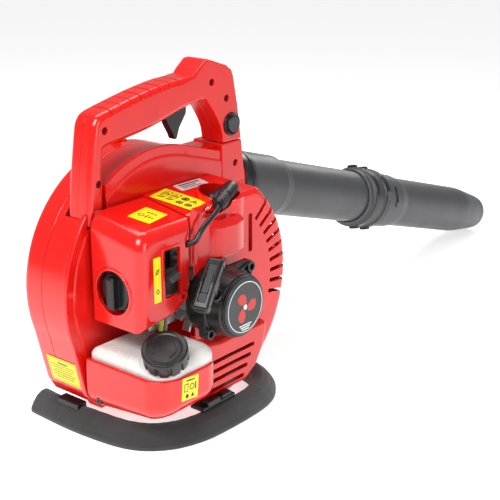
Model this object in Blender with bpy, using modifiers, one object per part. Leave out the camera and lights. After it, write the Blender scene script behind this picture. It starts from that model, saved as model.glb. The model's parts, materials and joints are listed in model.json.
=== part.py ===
"""Handheld two-stroke leaf blower, built as the separate pieces that come apart on a bench.

Metres, +Z up, +X along the blow tube, +Y towards the air inlet, -Y towards the recoil starter.
Every piece is placed in the crankshaft's own frame: x is measured from the crankshaft's axis, y from
the parting plane of the fan casing and z from the floor. One empty carries that frame to its place
in the world, so that the world's origin is under the stand's rear leg.
"""
import math

import bmesh
import bpy
from mathutils import Matrix, Vector

# ---- Driving dimensions ---------------------------------------------------------------------------
LEG_TO_CRANK = 0.107        # stand's rear leg to the crankshaft, along X
CRANK_Z = 0.1384            # crankshaft above the floor
GAP = 0.0004                # clearance between neighbouring pieces
WALL = 0.0028               # moulded casing wall

INLET_FACE_Y = 0.031        # flat outer face of the fan casing, inlet side
BACK_FACE_Y = -0.042        # flat face of the fan casing, engine side
SCROLL_TOP_R = 0.1455       # scroll radius over the top, up to the outlet's upper wall
SCROLL_FULL_ANGLE = 100     # angle from +X, in degrees, where the scroll reaches that radius
SCROLL_GROWTH = 0.0092      # scroll radius gained per radian below it
OUTLET_SLOPE = math.radians(16.8)
OUTLET_LOW_R = 0.075        # distance of the outlet's lower wall from the crankshaft
OUTLET_END = 0.100          # end of the outlet's square part, along the tube axis
SPIGOT_END = 0.115          # end of the round spigot that holds the tube
TUBE_AXIS_R = 0.1135        # distance of the tube axis from the crankshaft
TUBE_R = 0.0346
TUBE_WALL = 0.002
TUBE_SIDES = 32             # flat sides that stand for the round tubes
SOCKET_GAP = 0.0007         # lets the nozzle's flat sides turn about the rear tube's

COVER_R = 0.1275            # engine cover's drum
COVER_FACE_Y = -0.110
SHELF_Z = 0.2420            # top of the engine cover, next to the fan casing
SHELF_TILT = 0.17           # fall of the covers' tops per metre away from the casing

HANDLE_Y = -0.026           # parting plane of the handle
HANDLE_HALF = 0.0165

ENGINE_Y = -0.072           # plane of the cylinder and the connecting rod
THROW = 0.014               # crank throw, for a 28 mm stroke
ROD_LENGTH = 0.045

PLUG_SEAT = Vector((0.0145, -0.0735, 0.215))
PLUG_AXIS = Vector((0.76, -0.41, 0.5)).normalized()
CAP_ELBOW = PLUG_SEAT + PLUG_AXIS * 0.050
CAP_TAIL = Vector((0.006, -0.1145, 0.2335))

FILLER_AXIS = Vector((-0.4, -0.27, 0.876)).normalized()
FILLER = Vector((-0.0900, -0.1315, 0.1040))     # centre of the filler neck's shoulder

PULL_AXIS = Vector((-0.67, -0.24, 0.70)).normalized()
ROPE_EXIT = Vector((-0.0300, -0.1460, 0.1550))
GRIP_AXIS = PULL_AXIS.cross((0.303, -0.950, -0.036)).normalized()
GRIP_REACH = 0.0293                             # rope's exit to the middle of the pull handle

ALONG_TUBE = Vector((math.cos(OUTLET_SLOPE), 0, -math.sin(OUTLET_SLOPE)))
ACROSS_TUBE = Vector((math.sin(OUTLET_SLOPE), 0, math.cos(OUTLET_SLOPE)))
CRANK = Vector((0, 0, CRANK_Z))

X_AXIS = Vector((1, 0, 0))
Y_AXIS = Vector((0, 1, 0))
Z_AXIS = Vector((0, 0, 1))

# Finish: base colour, roughness, metallic, alpha
FINISHES = {
    "red_plastic": ((0.74, 0.025, 0.018), 0.28, 0.0, 1.0),
    "black_plastic": ((0.022, 0.022, 0.024), 0.38, 0.0, 1.0),
    "grey_plastic": ((0.085, 0.086, 0.09), 0.55, 0.0, 1.0),
    "tube_plastic": ((0.065, 0.067, 0.072), 0.5, 0.0, 1.0),
    "foam_rubber": ((0.06, 0.062, 0.066), 0.85, 0.0, 1.0),
    "rubber": ((0.02, 0.02, 0.021), 0.6, 0.0, 1.0),
    "tank_plastic": ((0.86, 0.85, 0.8), 0.35, 0.0, 1.0),
    "fuel_hose": ((0.62, 0.72, 0.12), 0.25, 0.0, 1.0),
    "grey_hose": ((0.3, 0.29, 0.26), 0.5, 0.0, 1.0),
    "cast_alloy": ((0.56, 0.56, 0.55), 0.5, 1.0, 1.0),
    "steel": ((0.6, 0.6, 0.6), 0.3, 1.0, 1.0),
    "filter_foam": ((0.1, 0.1, 0.1), 0.95, 0.0, 1.0),
    "ceramic": ((0.9, 0.89, 0.86), 0.2, 0.0, 1.0),
    "cord": ((0.75, 0.74, 0.7), 0.8, 0.0, 1.0),
}


# ---- Scene and helpers ----------------------------------------------------------------------------
def clear_scene():
    for obj in list(bpy.data.objects):
        bpy.data.objects.remove(obj, do_unlink=True)


def new_collection(name):
    made = bpy.data.collections.new(name)
    bpy.context.scene.collection.children.link(made)
    return made


clear_scene()
PARTS = new_collection("leaf_blower")
CUTTERS = new_collection("cutters")
FRAME = bpy.data.objects.new("crank_frame", None)
FRAME.location = (LEG_TO_CRANK, 0, 0)
PARTS.objects.link(FRAME)


def material(finish):
    found = bpy.data.materials.get(finish)
    if found:
        return found
    colour, roughness, metallic, alpha = FINISHES[finish]
    made = bpy.data.materials.new(finish)
    made.use_nodes = True
    shader = made.node_tree.nodes["Principled BSDF"]
    shader.inputs["Base Color"].default_value = (*colour, 1.0)
    shader.inputs["Roughness"].default_value = roughness
    shader.inputs["Metallic"].default_value = metallic
    shader.inputs["Alpha"].default_value = alpha
    return made


def clean(mesh):
    """Weld the mesh, join flat neighbours into single faces and turn every face outwards."""
    work = bmesh.new()
    work.from_mesh(mesh)
    bmesh.ops.remove_doubles(work, verts=work.verts, dist=1e-6)
    bmesh.ops.dissolve_limit(work, angle_limit=math.radians(0.5), verts=work.verts, edges=work.edges)
    bmesh.ops.recalc_face_normals(work, faces=work.faces)
    work.to_mesh(mesh)
    work.free()


def baked(obj):
    """The object as an ordinary mesh in the crankshaft's frame, with its modifiers applied."""
    bpy.context.view_layer.update()
    evaluated = obj.evaluated_get(bpy.context.evaluated_depsgraph_get())
    mesh = bpy.data.meshes.new_from_object(evaluated)
    mesh.transform(obj.matrix_world)
    clean(mesh)
    made = bpy.data.objects.new(obj.name, mesh)
    bpy.data.objects.remove(obj, do_unlink=True)
    CUTTERS.objects.link(made)
    return made


def part(obj, name, finish, pivot=None, smooth=30):
    """Give a solid its name, finish and origin, and move it to the blower's collection."""
    for home in list(obj.users_collection):
        home.objects.unlink(obj)
    PARTS.objects.link(obj)
    obj.name = name
    obj.data.name = name
    obj.data.materials.clear()
    obj.data.materials.append(material(finish))
    if pivot is not None:
        pivot = Vector(pivot)
        obj.data.transform(Matrix.Translation(-pivot))
        obj.location = pivot
    obj.data.shade_smooth()
    obj.data.set_sharp_from_angle(angle=math.radians(smooth))
    obj.parent = FRAME
    return obj


def boolean(obj, other, operation):
    """Cut, join or trim obj with another solid, which moves to the cutters."""
    other.name = "cutter_" + obj.name
    other.hide_render = True
    other.display_type = "WIRE"
    other.parent = FRAME
    change = obj.modifiers.new(operation.lower(), "BOOLEAN")
    change.operation = operation
    change.solver = "EXACT"
    change.object = other
    return obj


def cut(obj, *others):
    for other in others:
        boolean(obj, other, "DIFFERENCE")
    return obj


def join(obj, *others):
    for other in others:
        boolean(obj, other, "UNION")
    return obj


def bevel(obj, width, segments=2, angle=40):
    change = obj.modifiers.new("bevel", "BEVEL")
    change.width = width
    change.segments = segments
    change.limit_method = "ANGLE"
    change.angle_limit = math.radians(angle)
    change.harden_normals = False
    return obj


def mesh_object(name, work):
    mesh = bpy.data.meshes.new(name)
    work.to_mesh(mesh)
    work.free()
    obj = bpy.data.objects.new(name, mesh)
    CUTTERS.objects.link(obj)
    return obj


def box(low, high, name="box"):
    """A box between two opposite corners."""
    work = bmesh.new()
    bmesh.ops.create_cube(work, size=1.0)
    low, high = Vector(low), Vector(high)
    size = high - low
    bmesh.ops.scale(work, vec=size, verts=work.verts)
    bmesh.ops.translate(work, vec=(low + high) / 2, verts=work.verts)
    return mesh_object(name, work)


def rod(start, end, radius, end_radius=None, sides=16, name="rod"):
    """A cylinder or cone between two points."""
    start, end = Vector(start), Vector(end)
    axis = end - start
    work = bmesh.new()
    bmesh.ops.create_cone(
        work, cap_ends=True, segments=sides, radius1=radius,
        radius2=radius if end_radius is None else end_radius, depth=axis.length)
    turn = Z_AXIS.rotation_difference(axis.normalized()).to_matrix().to_4x4()
    bmesh.ops.transform(work, matrix=Matrix.Translation((start + end) / 2) @ turn, verts=work.verts)
    return mesh_object(name, work)


def turned(profile, base, axis, steps=18, name="turned"):
    """A solid of revolution. The profile lists (radius, height) pairs, from the top down its outer side.

    A profile that leaves the axis is closed on itself and makes a ring.
    """
    work = bmesh.new()
    verts = [work.verts.new((radius, 0, height)) for radius, height in profile]
    for first, second in zip(verts, verts[1:]):
        work.edges.new((first, second))
    if profile[0][0] > 0:
        work.edges.new((verts[-1], verts[0]))
    obj = mesh_object(name, work)
    screw = obj.modifiers.new("screw", "SCREW")
    screw.steps = steps
    screw.render_steps = steps
    screw.use_merge_vertices = True
    screw.merge_threshold = 0.00001
    obj.rotation_mode = "QUATERNION"
    obj.rotation_quaternion = Z_AXIS.rotation_difference(Vector(axis).normalized())
    obj.location = base
    return baked(obj)


def ring(base, axis, inner, outer, length, steps=18, name="ring"):
    """A plain ring that starts at base and runs along the axis."""
    profile = [(outer, length), (outer, 0), (inner, 0), (inner, length)]
    return turned(profile, base, axis, steps, name)


def prism(outline, near, far, holes=(), name="prism"):
    """A flat outline of (x, z) points, filled and given its thickness from y = near to y = far."""
    curve = bpy.data.curves.new(name, "CURVE")
    curve.dimensions = "2D"
    curve.fill_mode = "BOTH"
    curve.extrude = abs(far - near) / 2
    for points in (outline, *holes):
        spline = curve.splines.new("POLY")
        spline.points.add(len(points) - 1)
        for point, (x, z) in zip(spline.points, points):
            point.co = (x, z, 0, 1)
        spline.use_cyclic_u = True
    obj = bpy.data.objects.new(name, curve)
    obj.rotation_euler = (math.radians(90), 0, 0)
    obj.location = (0, (near + far) / 2, 0)
    CUTTERS.objects.link(obj)
    return baked(obj)


def tube(points, radius):
    """A round cord or hose along a smooth curve through the given points."""
    curve = bpy.data.curves.new("tube", "CURVE")
    curve.dimensions = "3D"
    curve.bevel_depth = radius
    curve.bevel_resolution = 1
    curve.use_fill_caps = True
    path = rounded_path(points)
    spline = curve.splines.new("POLY")
    spline.points.add(len(path) - 1)
    for point, place in zip(spline.points, path):
        point.co = (*place, 1)
    obj = bpy.data.objects.new("tube", curve)
    CUTTERS.objects.link(obj)
    return baked(obj)


def rounded_path(points, steps=3):
    """Points along a smooth curve through the given points."""
    knots = [Vector(point) for point in points]
    path = []
    for index in range(len(knots) - 1):
        before = knots[max(index - 1, 0)]
        start, end = knots[index], knots[index + 1]
        after = knots[min(index + 2, len(knots) - 1)]
        for step in range(steps):
            t = step / steps
            path.append(0.5 * (2 * start + (end - before) * t
                               + (2 * before - 5 * start + 4 * end - after) * t ** 2
                               + (3 * start - before - 3 * end + after) * t ** 3))
    path.append(knots[-1])
    return path


def on_circle(centre, radius, degrees):
    """The point of a circle in the XZ plane at an angle from +X towards +Z."""
    angle = math.radians(degrees)
    return (centre[0] + radius * math.cos(angle), centre[1] + radius * math.sin(angle))


def arc(centre, radius, start, end, count):
    """Evenly spaced points on a circle in the XZ plane, from one angle to another."""
    return [on_circle(centre, radius, start + (end - start) * index / (count - 1)) for index in range(count)]


def inset(outline, distance):
    """An outline moved inwards. Its points run clockwise when x points right and z up."""
    moved = []
    for index, point in enumerate(outline):
        here = Vector(point)
        arriving = (here - Vector(outline[index - 1])).normalized()
        leaving = (Vector(outline[(index + 1) % len(outline)]) - here).normalized()
        normals = [Vector((along.y, -along.x)) for along in (arriving, leaving)]
        middle = (normals[0] + normals[1]).normalized()
        moved.append(tuple(here + middle * (distance / middle.dot(normals[0]))))
    return moved


def open_face(obj, normal):
    """Remove the flat faces that look along the normal, to leave an open shell."""
    work = bmesh.new()
    work.from_mesh(obj.data)
    work.normal_update()
    gone = [face for face in work.faces if face.normal.dot(Vector(normal)) > 0.999]
    bmesh.ops.delete(work, geom=gone, context="FACES")
    work.to_mesh(obj.data)
    work.free()
    return obj


def shell(obj, thickness=WALL):
    """Give an open surface its wall, grown inwards."""
    change = obj.modifiers.new("wall", "SOLIDIFY")
    change.thickness = thickness
    change.offset = -1
    change.use_even_offset = True
    return obj


def tube_point(along, across=0.0, side=0.0):
    """A point in the tube's own frame: along its axis, up across it and to the side."""
    return CRANK + ALONG_TUBE * along + ACROSS_TUBE * (TUBE_AXIS_R + across) + Y_AXIS * side


# ---- Fan casing -----------------------------------------------------------------------------------
def scroll_arc(start, end, count, depth):
    """Points on the scroll's spiral. Its radius shrinks with the angle beyond the top."""
    points = []
    for index in range(count):
        angle = start + (end - start) * index / (count - 1)
        beyond = max(math.radians(angle - SCROLL_FULL_ANGLE), 0.0)
        radius = SCROLL_TOP_R - SCROLL_GROWTH * beyond - depth
        points.append(on_circle((0, CRANK_Z), radius, angle))
    return points


def outlet_corner(across, along):
    place = CRANK + ACROSS_TUBE * across + ALONG_TUBE * along
    return (place.x, place.z)


def scroll_outline(depth=0.0, end=OUTLET_END):
    """The casing's outline: spiral, two feet and the outlet that leads to the tube."""
    rear_foot = [(-0.112 + depth, 0.046), (-0.104 + depth, 0.032), (-0.095, 0.0262 + depth)]
    front_foot = [(0.092, 0.0262 + depth), (0.101 - depth, 0.032), (0.104 - depth, 0.046)]
    return ([outlet_corner(SCROLL_TOP_R - depth, end)]
            + scroll_arc(73.2, 195, 11, depth) + rear_foot
            + scroll_arc(250, 290, 5, depth) + front_foot
            + scroll_arc(338, 388, 6, depth)
            + [outlet_corner(OUTLET_LOW_R + depth, end)])


def casing_half(face_y, parting_y, *lugs):
    """Half of the fan casing: a rounded shell with half of the round spigot and its own outer lugs."""
    side = 1 if face_y > 0 else -1
    solid = prism(scroll_outline(), -side * 0.02, face_y)
    bevel(solid, 0.009, 2)
    join(solid, rod(tube_point(0.085), tube_point(SPIGOT_END), 0.0385, sides=24), *lugs)
    hollow = prism(scroll_outline(WALL, OUTLET_END - 0.012), -side * 0.018, face_y - side * WALL)
    bevel(hollow, 0.0065, 1)
    cut(solid, hollow, rod(tube_point(0.0870), tube_point(0.17), TUBE_R + 0.0006, sides=24))
    if side > 0:
        other_side = box((-0.2, -0.1, -0.05), (0.25, parting_y, 0.4))
    else:
        other_side = box((-0.2, parting_y, -0.05), (0.25, 0.1, 0.4))
    return cut(solid, other_side)


def build_fan_casing():
    mouth_rim = turned([(0.064, 0.0035), (0.064, 0), (0.050, 0), (0.050, 0.0035)],
                       (0, INLET_FACE_Y - 0.0015, CRANK_Z), Y_AXIS, 32)
    outer = casing_half(INLET_FACE_Y, GAP / 2, mouth_rim)
    cut(outer, rod((0, 0.02, CRANK_Z), (0, 0.05, CRANK_Z), 0.058, sides=32))
    part(outer, "volute_outer_half", "red_plastic")

    rim = prism(scroll_outline(-0.0035, OUTLET_END - 0.006), -0.034, -0.0405)
    pillar_base = prism([(0.0990, 0.2240), (0.0990, 0.2718), (0.1325, 0.2718), (0.1385, 0.2240)],
                        BACK_FACE_Y - 0.0005, 0.001)
    pillar_foot = bevel(box((0.0620, -0.0300, 0.2550), (0.1010, 0.0010, 0.2700)), 0.003, 1)
    inner = casing_half(BACK_FACE_Y, -GAP / 2, rim, pillar_foot, pillar_base)
    handle_seat = box((-0.1036, -0.05, 0.2225), (-0.0765, -0.0085, 0.30))
    cut(inner, handle_seat, rod((0, -0.05, CRANK_Z), (0, -0.03, CRANK_Z), 0.022, sides=24))
    part(inner, "volute_inner_half", "red_plastic")


def build_inlet_guard():
    """A slotted round grille that swings open on a pin at its rear edge."""
    guard = turned([(0, 0.0075), (0.052, 0.0075), (0.064, 0.003), (0.066, 0), (0.066, -0.006), (0.0645, -0.006),
                    (0.0645, 0), (0.052, 0.0045), (0, 0.0045)],
                   (0, 0.0405, CRANK_Z), Y_AXIS, 24)
    slots = None
    for row in range(-3, 4):
        height = row * 0.0135
        reach = math.sqrt(0.054 ** 2 - height ** 2)
        slot = box((-reach, 0.03, CRANK_Z + height - 0.0036), (reach, 0.06, CRANK_Z + height + 0.0036))
        slots = slot if slots is None else merged(slots, slot)
    cut(guard, slots)
    hinge_ear = box((-0.0765, 0.0335, CRANK_Z - 0.012), (-0.0625, 0.040, CRANK_Z + 0.012))
    lock_ear = box((0.060, 0.0365, CRANK_Z - 0.007), (0.0775, 0.041, CRANK_Z + 0.007))
    join(guard, hinge_ear, lock_ear)
    cut(guard, rod((-0.0725, 0.0366, CRANK_Z - 0.02), (-0.0725, 0.0366, CRANK_Z + 0.02), 0.0019, sides=16),
        rod((0.072, 0.03, CRANK_Z), (0.072, 0.05, CRANK_Z), 0.0028, sides=16))
    part(guard, "inlet_guard", "black_plastic", pivot=(-0.0725, 0.0366, CRANK_Z))
    part(rod((-0.0725, 0.0366, CRANK_Z - 0.015), (-0.0725, 0.0366, CRANK_Z + 0.015), 0.0015, sides=16),
         "guard_hinge_pin", "steel")


def merged(first, second):
    """Two separate meshes as one object, for a cutter that cuts many places at once."""
    work = bmesh.new()
    work.from_mesh(first.data)
    work.from_mesh(second.data)
    work.to_mesh(first.data)
    work.free()
    bpy.data.objects.remove(second, do_unlink=True)
    return first


def blade_outline(hub, tip, count, half_width, lean=0.0):
    """A hub with radial blades, as one flat outline around the crankshaft."""
    points = []
    step = 360 / count
    root = math.degrees(math.asin(half_width / hub))
    edge = math.degrees(math.asin(half_width / tip))
    for index in range(count):
        middle = index * step
        points.append(on_circle((0, CRANK_Z), hub, middle - root))
        points.append(on_circle((0, CRANK_Z), tip, middle + lean - edge))
        points.append(on_circle((0, CRANK_Z), tip, middle + lean + edge))
        points.append(on_circle((0, CRANK_Z), hub, middle + root))
    return points


def build_impeller():
    wheel = prism(blade_outline(0.013, 0.086, 10, 0.001, lean=14), -0.0345, 0.014)
    eye = turned([(0.086, 0.03), (0.055, 0), (0.017, 0), (0.017, 0.03)], (0, -0.006, CRANK_Z), Y_AXIS, 20)
    disc = turned([(0, 0.0025), (0.086, 0.0025), (0.086, 0), (0, 0)], (0, -0.0365, CRANK_Z), Y_AXIS, 24)
    join(cut(wheel, eye), disc)
    cut(wheel, rod((0, -0.05, CRANK_Z), (0, 0.02, CRANK_Z), 0.0044, sides=24),
        rod((0, -0.006, CRANK_Z), (0, 0.03, CRANK_Z), 0.016, sides=24))
    part(wheel, "impeller", "black_plastic", pivot=CRANK)

    nut = rod((0, -0.0056, CRANK_Z), (0, 0.0004, CRANK_Z), 0.0075, sides=6)
    cut(nut, rod((0, -0.01, CRANK_Z), (0, 0.02, CRANK_Z), 0.0044, sides=24))
    part(nut, "impeller_nut", "steel", pivot=CRANK)


# ---- Engine: crank and cylinder ---------------------------------------------------------------------
def on_crank(y, x=0.0, z=0.0):
    return Vector((x, y, CRANK_Z + z))


def build_crankshaft():
    """The shaft's two halves. The crank pin between them belongs to the connecting rod."""
    fan_half = rod(on_crank(-0.0677), on_crank(-0.0617), 0.0195, sides=24)
    join(fan_half, rod(on_crank(-0.0625), on_crank(-0.040), 0.006), rod(on_crank(-0.041), on_crank(0.003), 0.004))
    part(fan_half, "crankshaft_fan_half", "steel", pivot=CRANK)
    starter_half = rod(on_crank(-0.0823), on_crank(-0.0763), 0.0195, sides=24)
    join(starter_half, rod(on_crank(-0.0965), on_crank(-0.0815), 0.006),
         rod(on_crank(-0.108), on_crank(-0.096), 0.004))
    part(starter_half, "crankshaft_starter_half", "steel", pivot=CRANK)


def crankcase_half(near, inner_end, bearing_end, outer_end):
    """Half of the crankcase, turned about the crankshaft and opened towards the cylinder."""
    away = 1 if outer_end > near else -1
    axis = Y_AXIS * away
    length = abs(outer_end - near)
    depth = abs(inner_end - near)
    seat = abs(bearing_end - near)
    profile = [(0.019, length), (0.019, depth + 0.004), (0.029, depth - 0.001), (0.029, 0), (0.0245, 0),
               (0.0245, depth), (0.008, depth), (0.008, seat), (0.0131, seat), (0.0131, length)]
    half = turned(profile, on_crank(near), axis, 18)
    low, high = sorted((near, near + away * 0.0175))
    join(half, box((-0.024, low, CRANK_Z + 0.0165), (0.024, high, 0.170)))
    cut(half, rod(on_crank(ENGINE_Y, z=0.004), on_crank(ENGINE_Y, z=0.05), 0.0185, sides=18),
        rod(on_crank(near - away * 0.001), on_crank(near + away * depth), 0.0242, sides=18))
    return half


def build_crankcase():
    part(crankcase_half(ENGINE_Y + GAP / 2, -0.0607, -0.0577, -0.0485), "crankcase_fan_half", "cast_alloy")
    part(crankcase_half(ENGINE_Y - GAP / 2, -0.0833, -0.0863, -0.0955), "crankcase_starter_half", "cast_alloy")
    for name, start in (("fan_side_bearing", -0.0572), ("starter_side_bearing", -0.0948)):
        part(ring(on_crank(start), Y_AXIS, 0.0063, 0.0128, 0.008, 20), name, "steel")


def build_cylinder():
    """Finned cylinder with its intake stub at the back and exhaust stub at the front."""
    base, top, deck = 0.1704, 0.215, 0.208
    outline = [(0, top)]
    for index in reversed(range(4)):
        low = base + 0.0095 + index * 0.0090
        outline += [(0.0205, low + 0.0026), (0.0244, low + 0.0016), (0.0244, low)]
    outline += [(0.0205, base + 0.004), (0.0240, base + 0.004), (0.0240, base), (0.017, base), (0.017, deck),
                (0, deck)]
    cylinder = turned(outline, (0, ENGINE_Y, 0), Z_AXIS, 16)
    port_z = 0.187
    for side in (1, -1):
        join(cylinder, rod((side * 0.0185, ENGINE_Y, port_z), (side * 0.0295, ENGINE_Y, port_z), 0.0095))
    plug_hole = rod(PLUG_SEAT - PLUG_AXIS * 0.013, PLUG_SEAT + PLUG_AXIS * 0.012, 0.0049)
    spot_face = rod(PLUG_SEAT + PLUG_AXIS * 0.0050, PLUG_SEAT + PLUG_AXIS * 0.03, 0.0110)
    cut(cylinder, rod((-0.04, ENGINE_Y, port_z), (0.04, ENGINE_Y, port_z), 0.0065), plug_hole, spot_face)
    part(cylinder, "cylinder", "cast_alloy")


def build_piston():
    pin_z = CRANK_Z + THROW + ROD_LENGTH
    crown, skirt = pin_z + 0.009, pin_z - 0.009
    wrist = Vector((0, ENGINE_Y, pin_z))
    piston = turned([(0, crown), (0.0166, crown), (0.0166, skirt), (0.0136, skirt), (0.0136, crown - 0.003),
                     (0, crown - 0.003)], (0, ENGINE_Y, 0), Z_AXIS, 20)
    cut(piston, rod(wrist - Y_AXIS * 0.03, wrist + Y_AXIS * 0.03, 0.0038, sides=20))
    part(piston, "piston", "cast_alloy", pivot=wrist)
    pin = rod(wrist - Y_AXIS * 0.0155, wrist + Y_AXIS * 0.0155, 0.0034, sides=20)
    part(pin, "gudgeon_pin", "steel", pivot=wrist)

    big_end = on_crank(ENGINE_Y, z=THROW)
    half = Y_AXIS * 0.0036
    link = box(wrist + Vector((-0.0028, -0.0025, -0.042)), wrist + Vector((0.0028, 0.0025, -0.004)))
    join(link, rod(big_end - half, big_end + half, 0.0080), rod(wrist - half, wrist + half, 0.0055))
    cut(link, rod(big_end - half * 2, big_end + half * 2, 0.0043, sides=20),
        rod(wrist - half * 2, wrist + half * 2, 0.0038, sides=20))
    part(link, "connecting_rod", "steel", pivot=wrist)
    pin = rod(big_end - Y_AXIS * 0.0039, big_end + Y_AXIS * 0.0039, 0.0040, sides=20)
    part(pin, "crank_pin", "steel", pivot=wrist)


# ---- Engine: ignition, flywheel, exhaust and carburettor ----------------------------------------
def build_flywheel():
    wheel = prism(blade_outline(0.034, 0.043, 13, 0.0014, lean=6), -0.1065, -0.0970)
    recess = turned([(0.030, 0.006), (0.030, 0), (0.012, 0), (0.012, 0.006)], (0, -0.1110, CRANK_Z), Y_AXIS, 20)
    cut(wheel, recess, rod(on_crank(-0.12), on_crank(-0.09), 0.0044))
    part(wheel, "flywheel", "cast_alloy", pivot=CRANK)


def build_ignition():
    coil = box((-0.018, -0.1045, CRANK_Z - 0.074), (0.018, -0.0925, CRANK_Z - 0.050))
    feet = box((-0.016, -0.1035, CRANK_Z - 0.051), (0.016, -0.0945, CRANK_Z - 0.0455))
    join(bevel(coil, 0.003, 2), feet)
    cut(coil, box((-0.009, -0.11, CRANK_Z - 0.0495), (0.009, -0.09, CRANK_Z - 0.044)))
    part(coil, "ignition_coil", "black_plastic")

    plug = turned([(0, 0.040), (0.003, 0.040), (0.003, 0.036), (0.0048, 0.036), (0.0048, 0.014), (0.0085, 0.013),
                   (0.0085, 0.006), (0.0044, 0.0055), (0.0044, -0.008), (0, -0.008)], PLUG_SEAT, PLUG_AXIS, 12)
    part(plug, "spark_plug", "ceramic")

    tail = (CAP_TAIL - CAP_ELBOW).normalized()
    cap = rod(PLUG_SEAT + PLUG_AXIS * 0.024, CAP_ELBOW + PLUG_AXIS * 0.006, 0.0088)
    join(cap, rod(CAP_ELBOW - tail * 0.001, CAP_TAIL, 0.0078, 0.0058, sides=16))
    cut(cap, rod(PLUG_SEAT + PLUG_AXIS * 0.020, PLUG_SEAT + PLUG_AXIS * 0.0405, 0.0052, sides=16))
    part(cap, "spark_plug_cap", "rubber")

    start = CAP_TAIL + tail * 0.0015
    lead = tube([start, start + tail * 0.012 + Vector((0, -0.001, -0.002)), (-0.026, -0.1205, 0.2185),
                 (-0.0375, -0.1195, 0.2085)], 0.0028)
    part(lead, "ignition_lead", "rubber")


def build_exhaust():
    muffler = box((0.0330, -0.0955, 0.150), (0.080, -0.048, 0.2100))
    bevel(muffler, 0.006, 2)
    outlet = rod((0.0790, -0.075, 0.162), (0.092, -0.075, 0.162), 0.006)
    chamber = bevel(box((0.0355, -0.0930, 0.1525), (0.0775, -0.0505, 0.2075)), 0.004, 1)
    cut(join(muffler, outlet), chamber,
        rod((0.05, -0.075, 0.162), (0.1, -0.075, 0.162), 0.0042),
        rod((0.03, ENGINE_Y, 0.187), (0.04, ENGINE_Y, 0.187), 0.0065))
    part(muffler, "muffler", "steel")


INTAKE_Z = 0.187


def build_carburettor():
    def intake_bore(radius):
        return rod((-0.12, ENGINE_Y, INTAKE_Z), (-0.02, ENGINE_Y, INTAKE_Z), radius)

    spacer = box((-0.0485, -0.0855, 0.175), (-0.0299, -0.0595, 0.199))
    part(cut(bevel(spacer, 0.003, 1), intake_bore(0.0065)), "insulator_block", "black_plastic")

    body = box((-0.0720, -0.0880, 0.173), (-0.0489, -0.0570, 0.201))
    shaft_hole = rod((-0.060, -0.1, INTAKE_Z), (-0.060, -0.05, INTAKE_Z), 0.0018, sides=16)
    part(cut(bevel(body, 0.002, 1), intake_bore(0.0080), shaft_hole), "carburettor", "cast_alloy")

    plate = rod((-0.0606, ENGINE_Y, INTAKE_Z), (-0.0594, ENGINE_Y, INTAKE_Z), 0.0072, sides=24)
    spindle = rod((-0.060, -0.0935, INTAKE_Z), (-0.060, -0.0545, INTAKE_Z), 0.0014, sides=16)
    lever = box((-0.0625, -0.0935, INTAKE_Z - 0.003), (-0.0575, -0.0915, INTAKE_Z + 0.016))
    part(join(plate, spindle, lever), "throttle_valve", "steel", pivot=(-0.060, ENGINE_Y, INTAKE_Z))

    bulb = turned([(0, 0.0085), (0.004, 0.0078), (0.0075, 0.0045), (0.0085, 0), (0, 0)],
                  (-0.060, -0.0725, 0.1726), -Z_AXIS, 20)
    part(bulb, "primer_bulb", "tank_plastic")


def build_air_filter():
    case = box((-0.0985, -0.1050, 0.1420), (-0.0725, -0.0510, 0.2150))
    bevel(case, 0.004, 2)
    cut(case, box((-0.0960, -0.1025, 0.1445), (-0.0750, -0.0535, 0.2125)),
        rod((-0.08, ENGINE_Y, INTAKE_Z), (-0.07, ENGINE_Y, INTAKE_Z), 0.0080),
        rod((-0.105, -0.0755, 0.165), (-0.09, -0.0755, 0.165), 0.0036, sides=20))
    part(case, "air_filter_case", "black_plastic")
    foam = box((-0.0935, -0.1020, 0.1450), (-0.0790, -0.0540, 0.2120))
    cut(foam, rod((-0.1, -0.0755, 0.165), (-0.07, -0.0755, 0.165), 0.0040, sides=20))
    part(foam, "air_filter_element", "filter_foam")

    knob = turned([(0, 0.0090), (0.0110, 0.0090), (0.0125, 0.0075), (0.0125, 0), (0, 0)],
                  (-0.0992, -0.0755, 0.165), -X_AXIS, 20)
    grips = box((-0.1102, -0.0755 - 0.0185, 0.165 - 0.004), (-0.0997, -0.0755 + 0.0185, 0.165 + 0.004))
    more = box((-0.1102, -0.0755 - 0.004, 0.165 - 0.0185), (-0.0997, -0.0755 + 0.004, 0.165 + 0.0185))
    stud = rod((-0.0993, -0.0755, 0.165), (-0.0800, -0.0755, 0.165), 0.0030, sides=16)
    join(knob, bevel(grips, 0.003, 1), bevel(more, 0.003, 1), stud)
    part(knob, "air_filter_knob", "black_plastic", pivot=(-0.0992, -0.0755, 0.165))


def build_choke():
    pivot = Vector((-0.0440, -0.1100, 0.184))
    lever = box((-0.0660, -0.1112, 0.1795), (-0.0415, -0.1092, 0.1865))
    tab = box((-0.0690, -0.1215, 0.1770), (-0.0570, -0.1095, 0.1840))
    join(lever, bevel(tab, 0.0015, 1))
    cut(lever, rod(pivot - Y_AXIS * 0.01, pivot + Y_AXIS * 0.01, 0.0018, sides=16))
    part(lever, "choke_lever", "grey_plastic", pivot=pivot)


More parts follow.
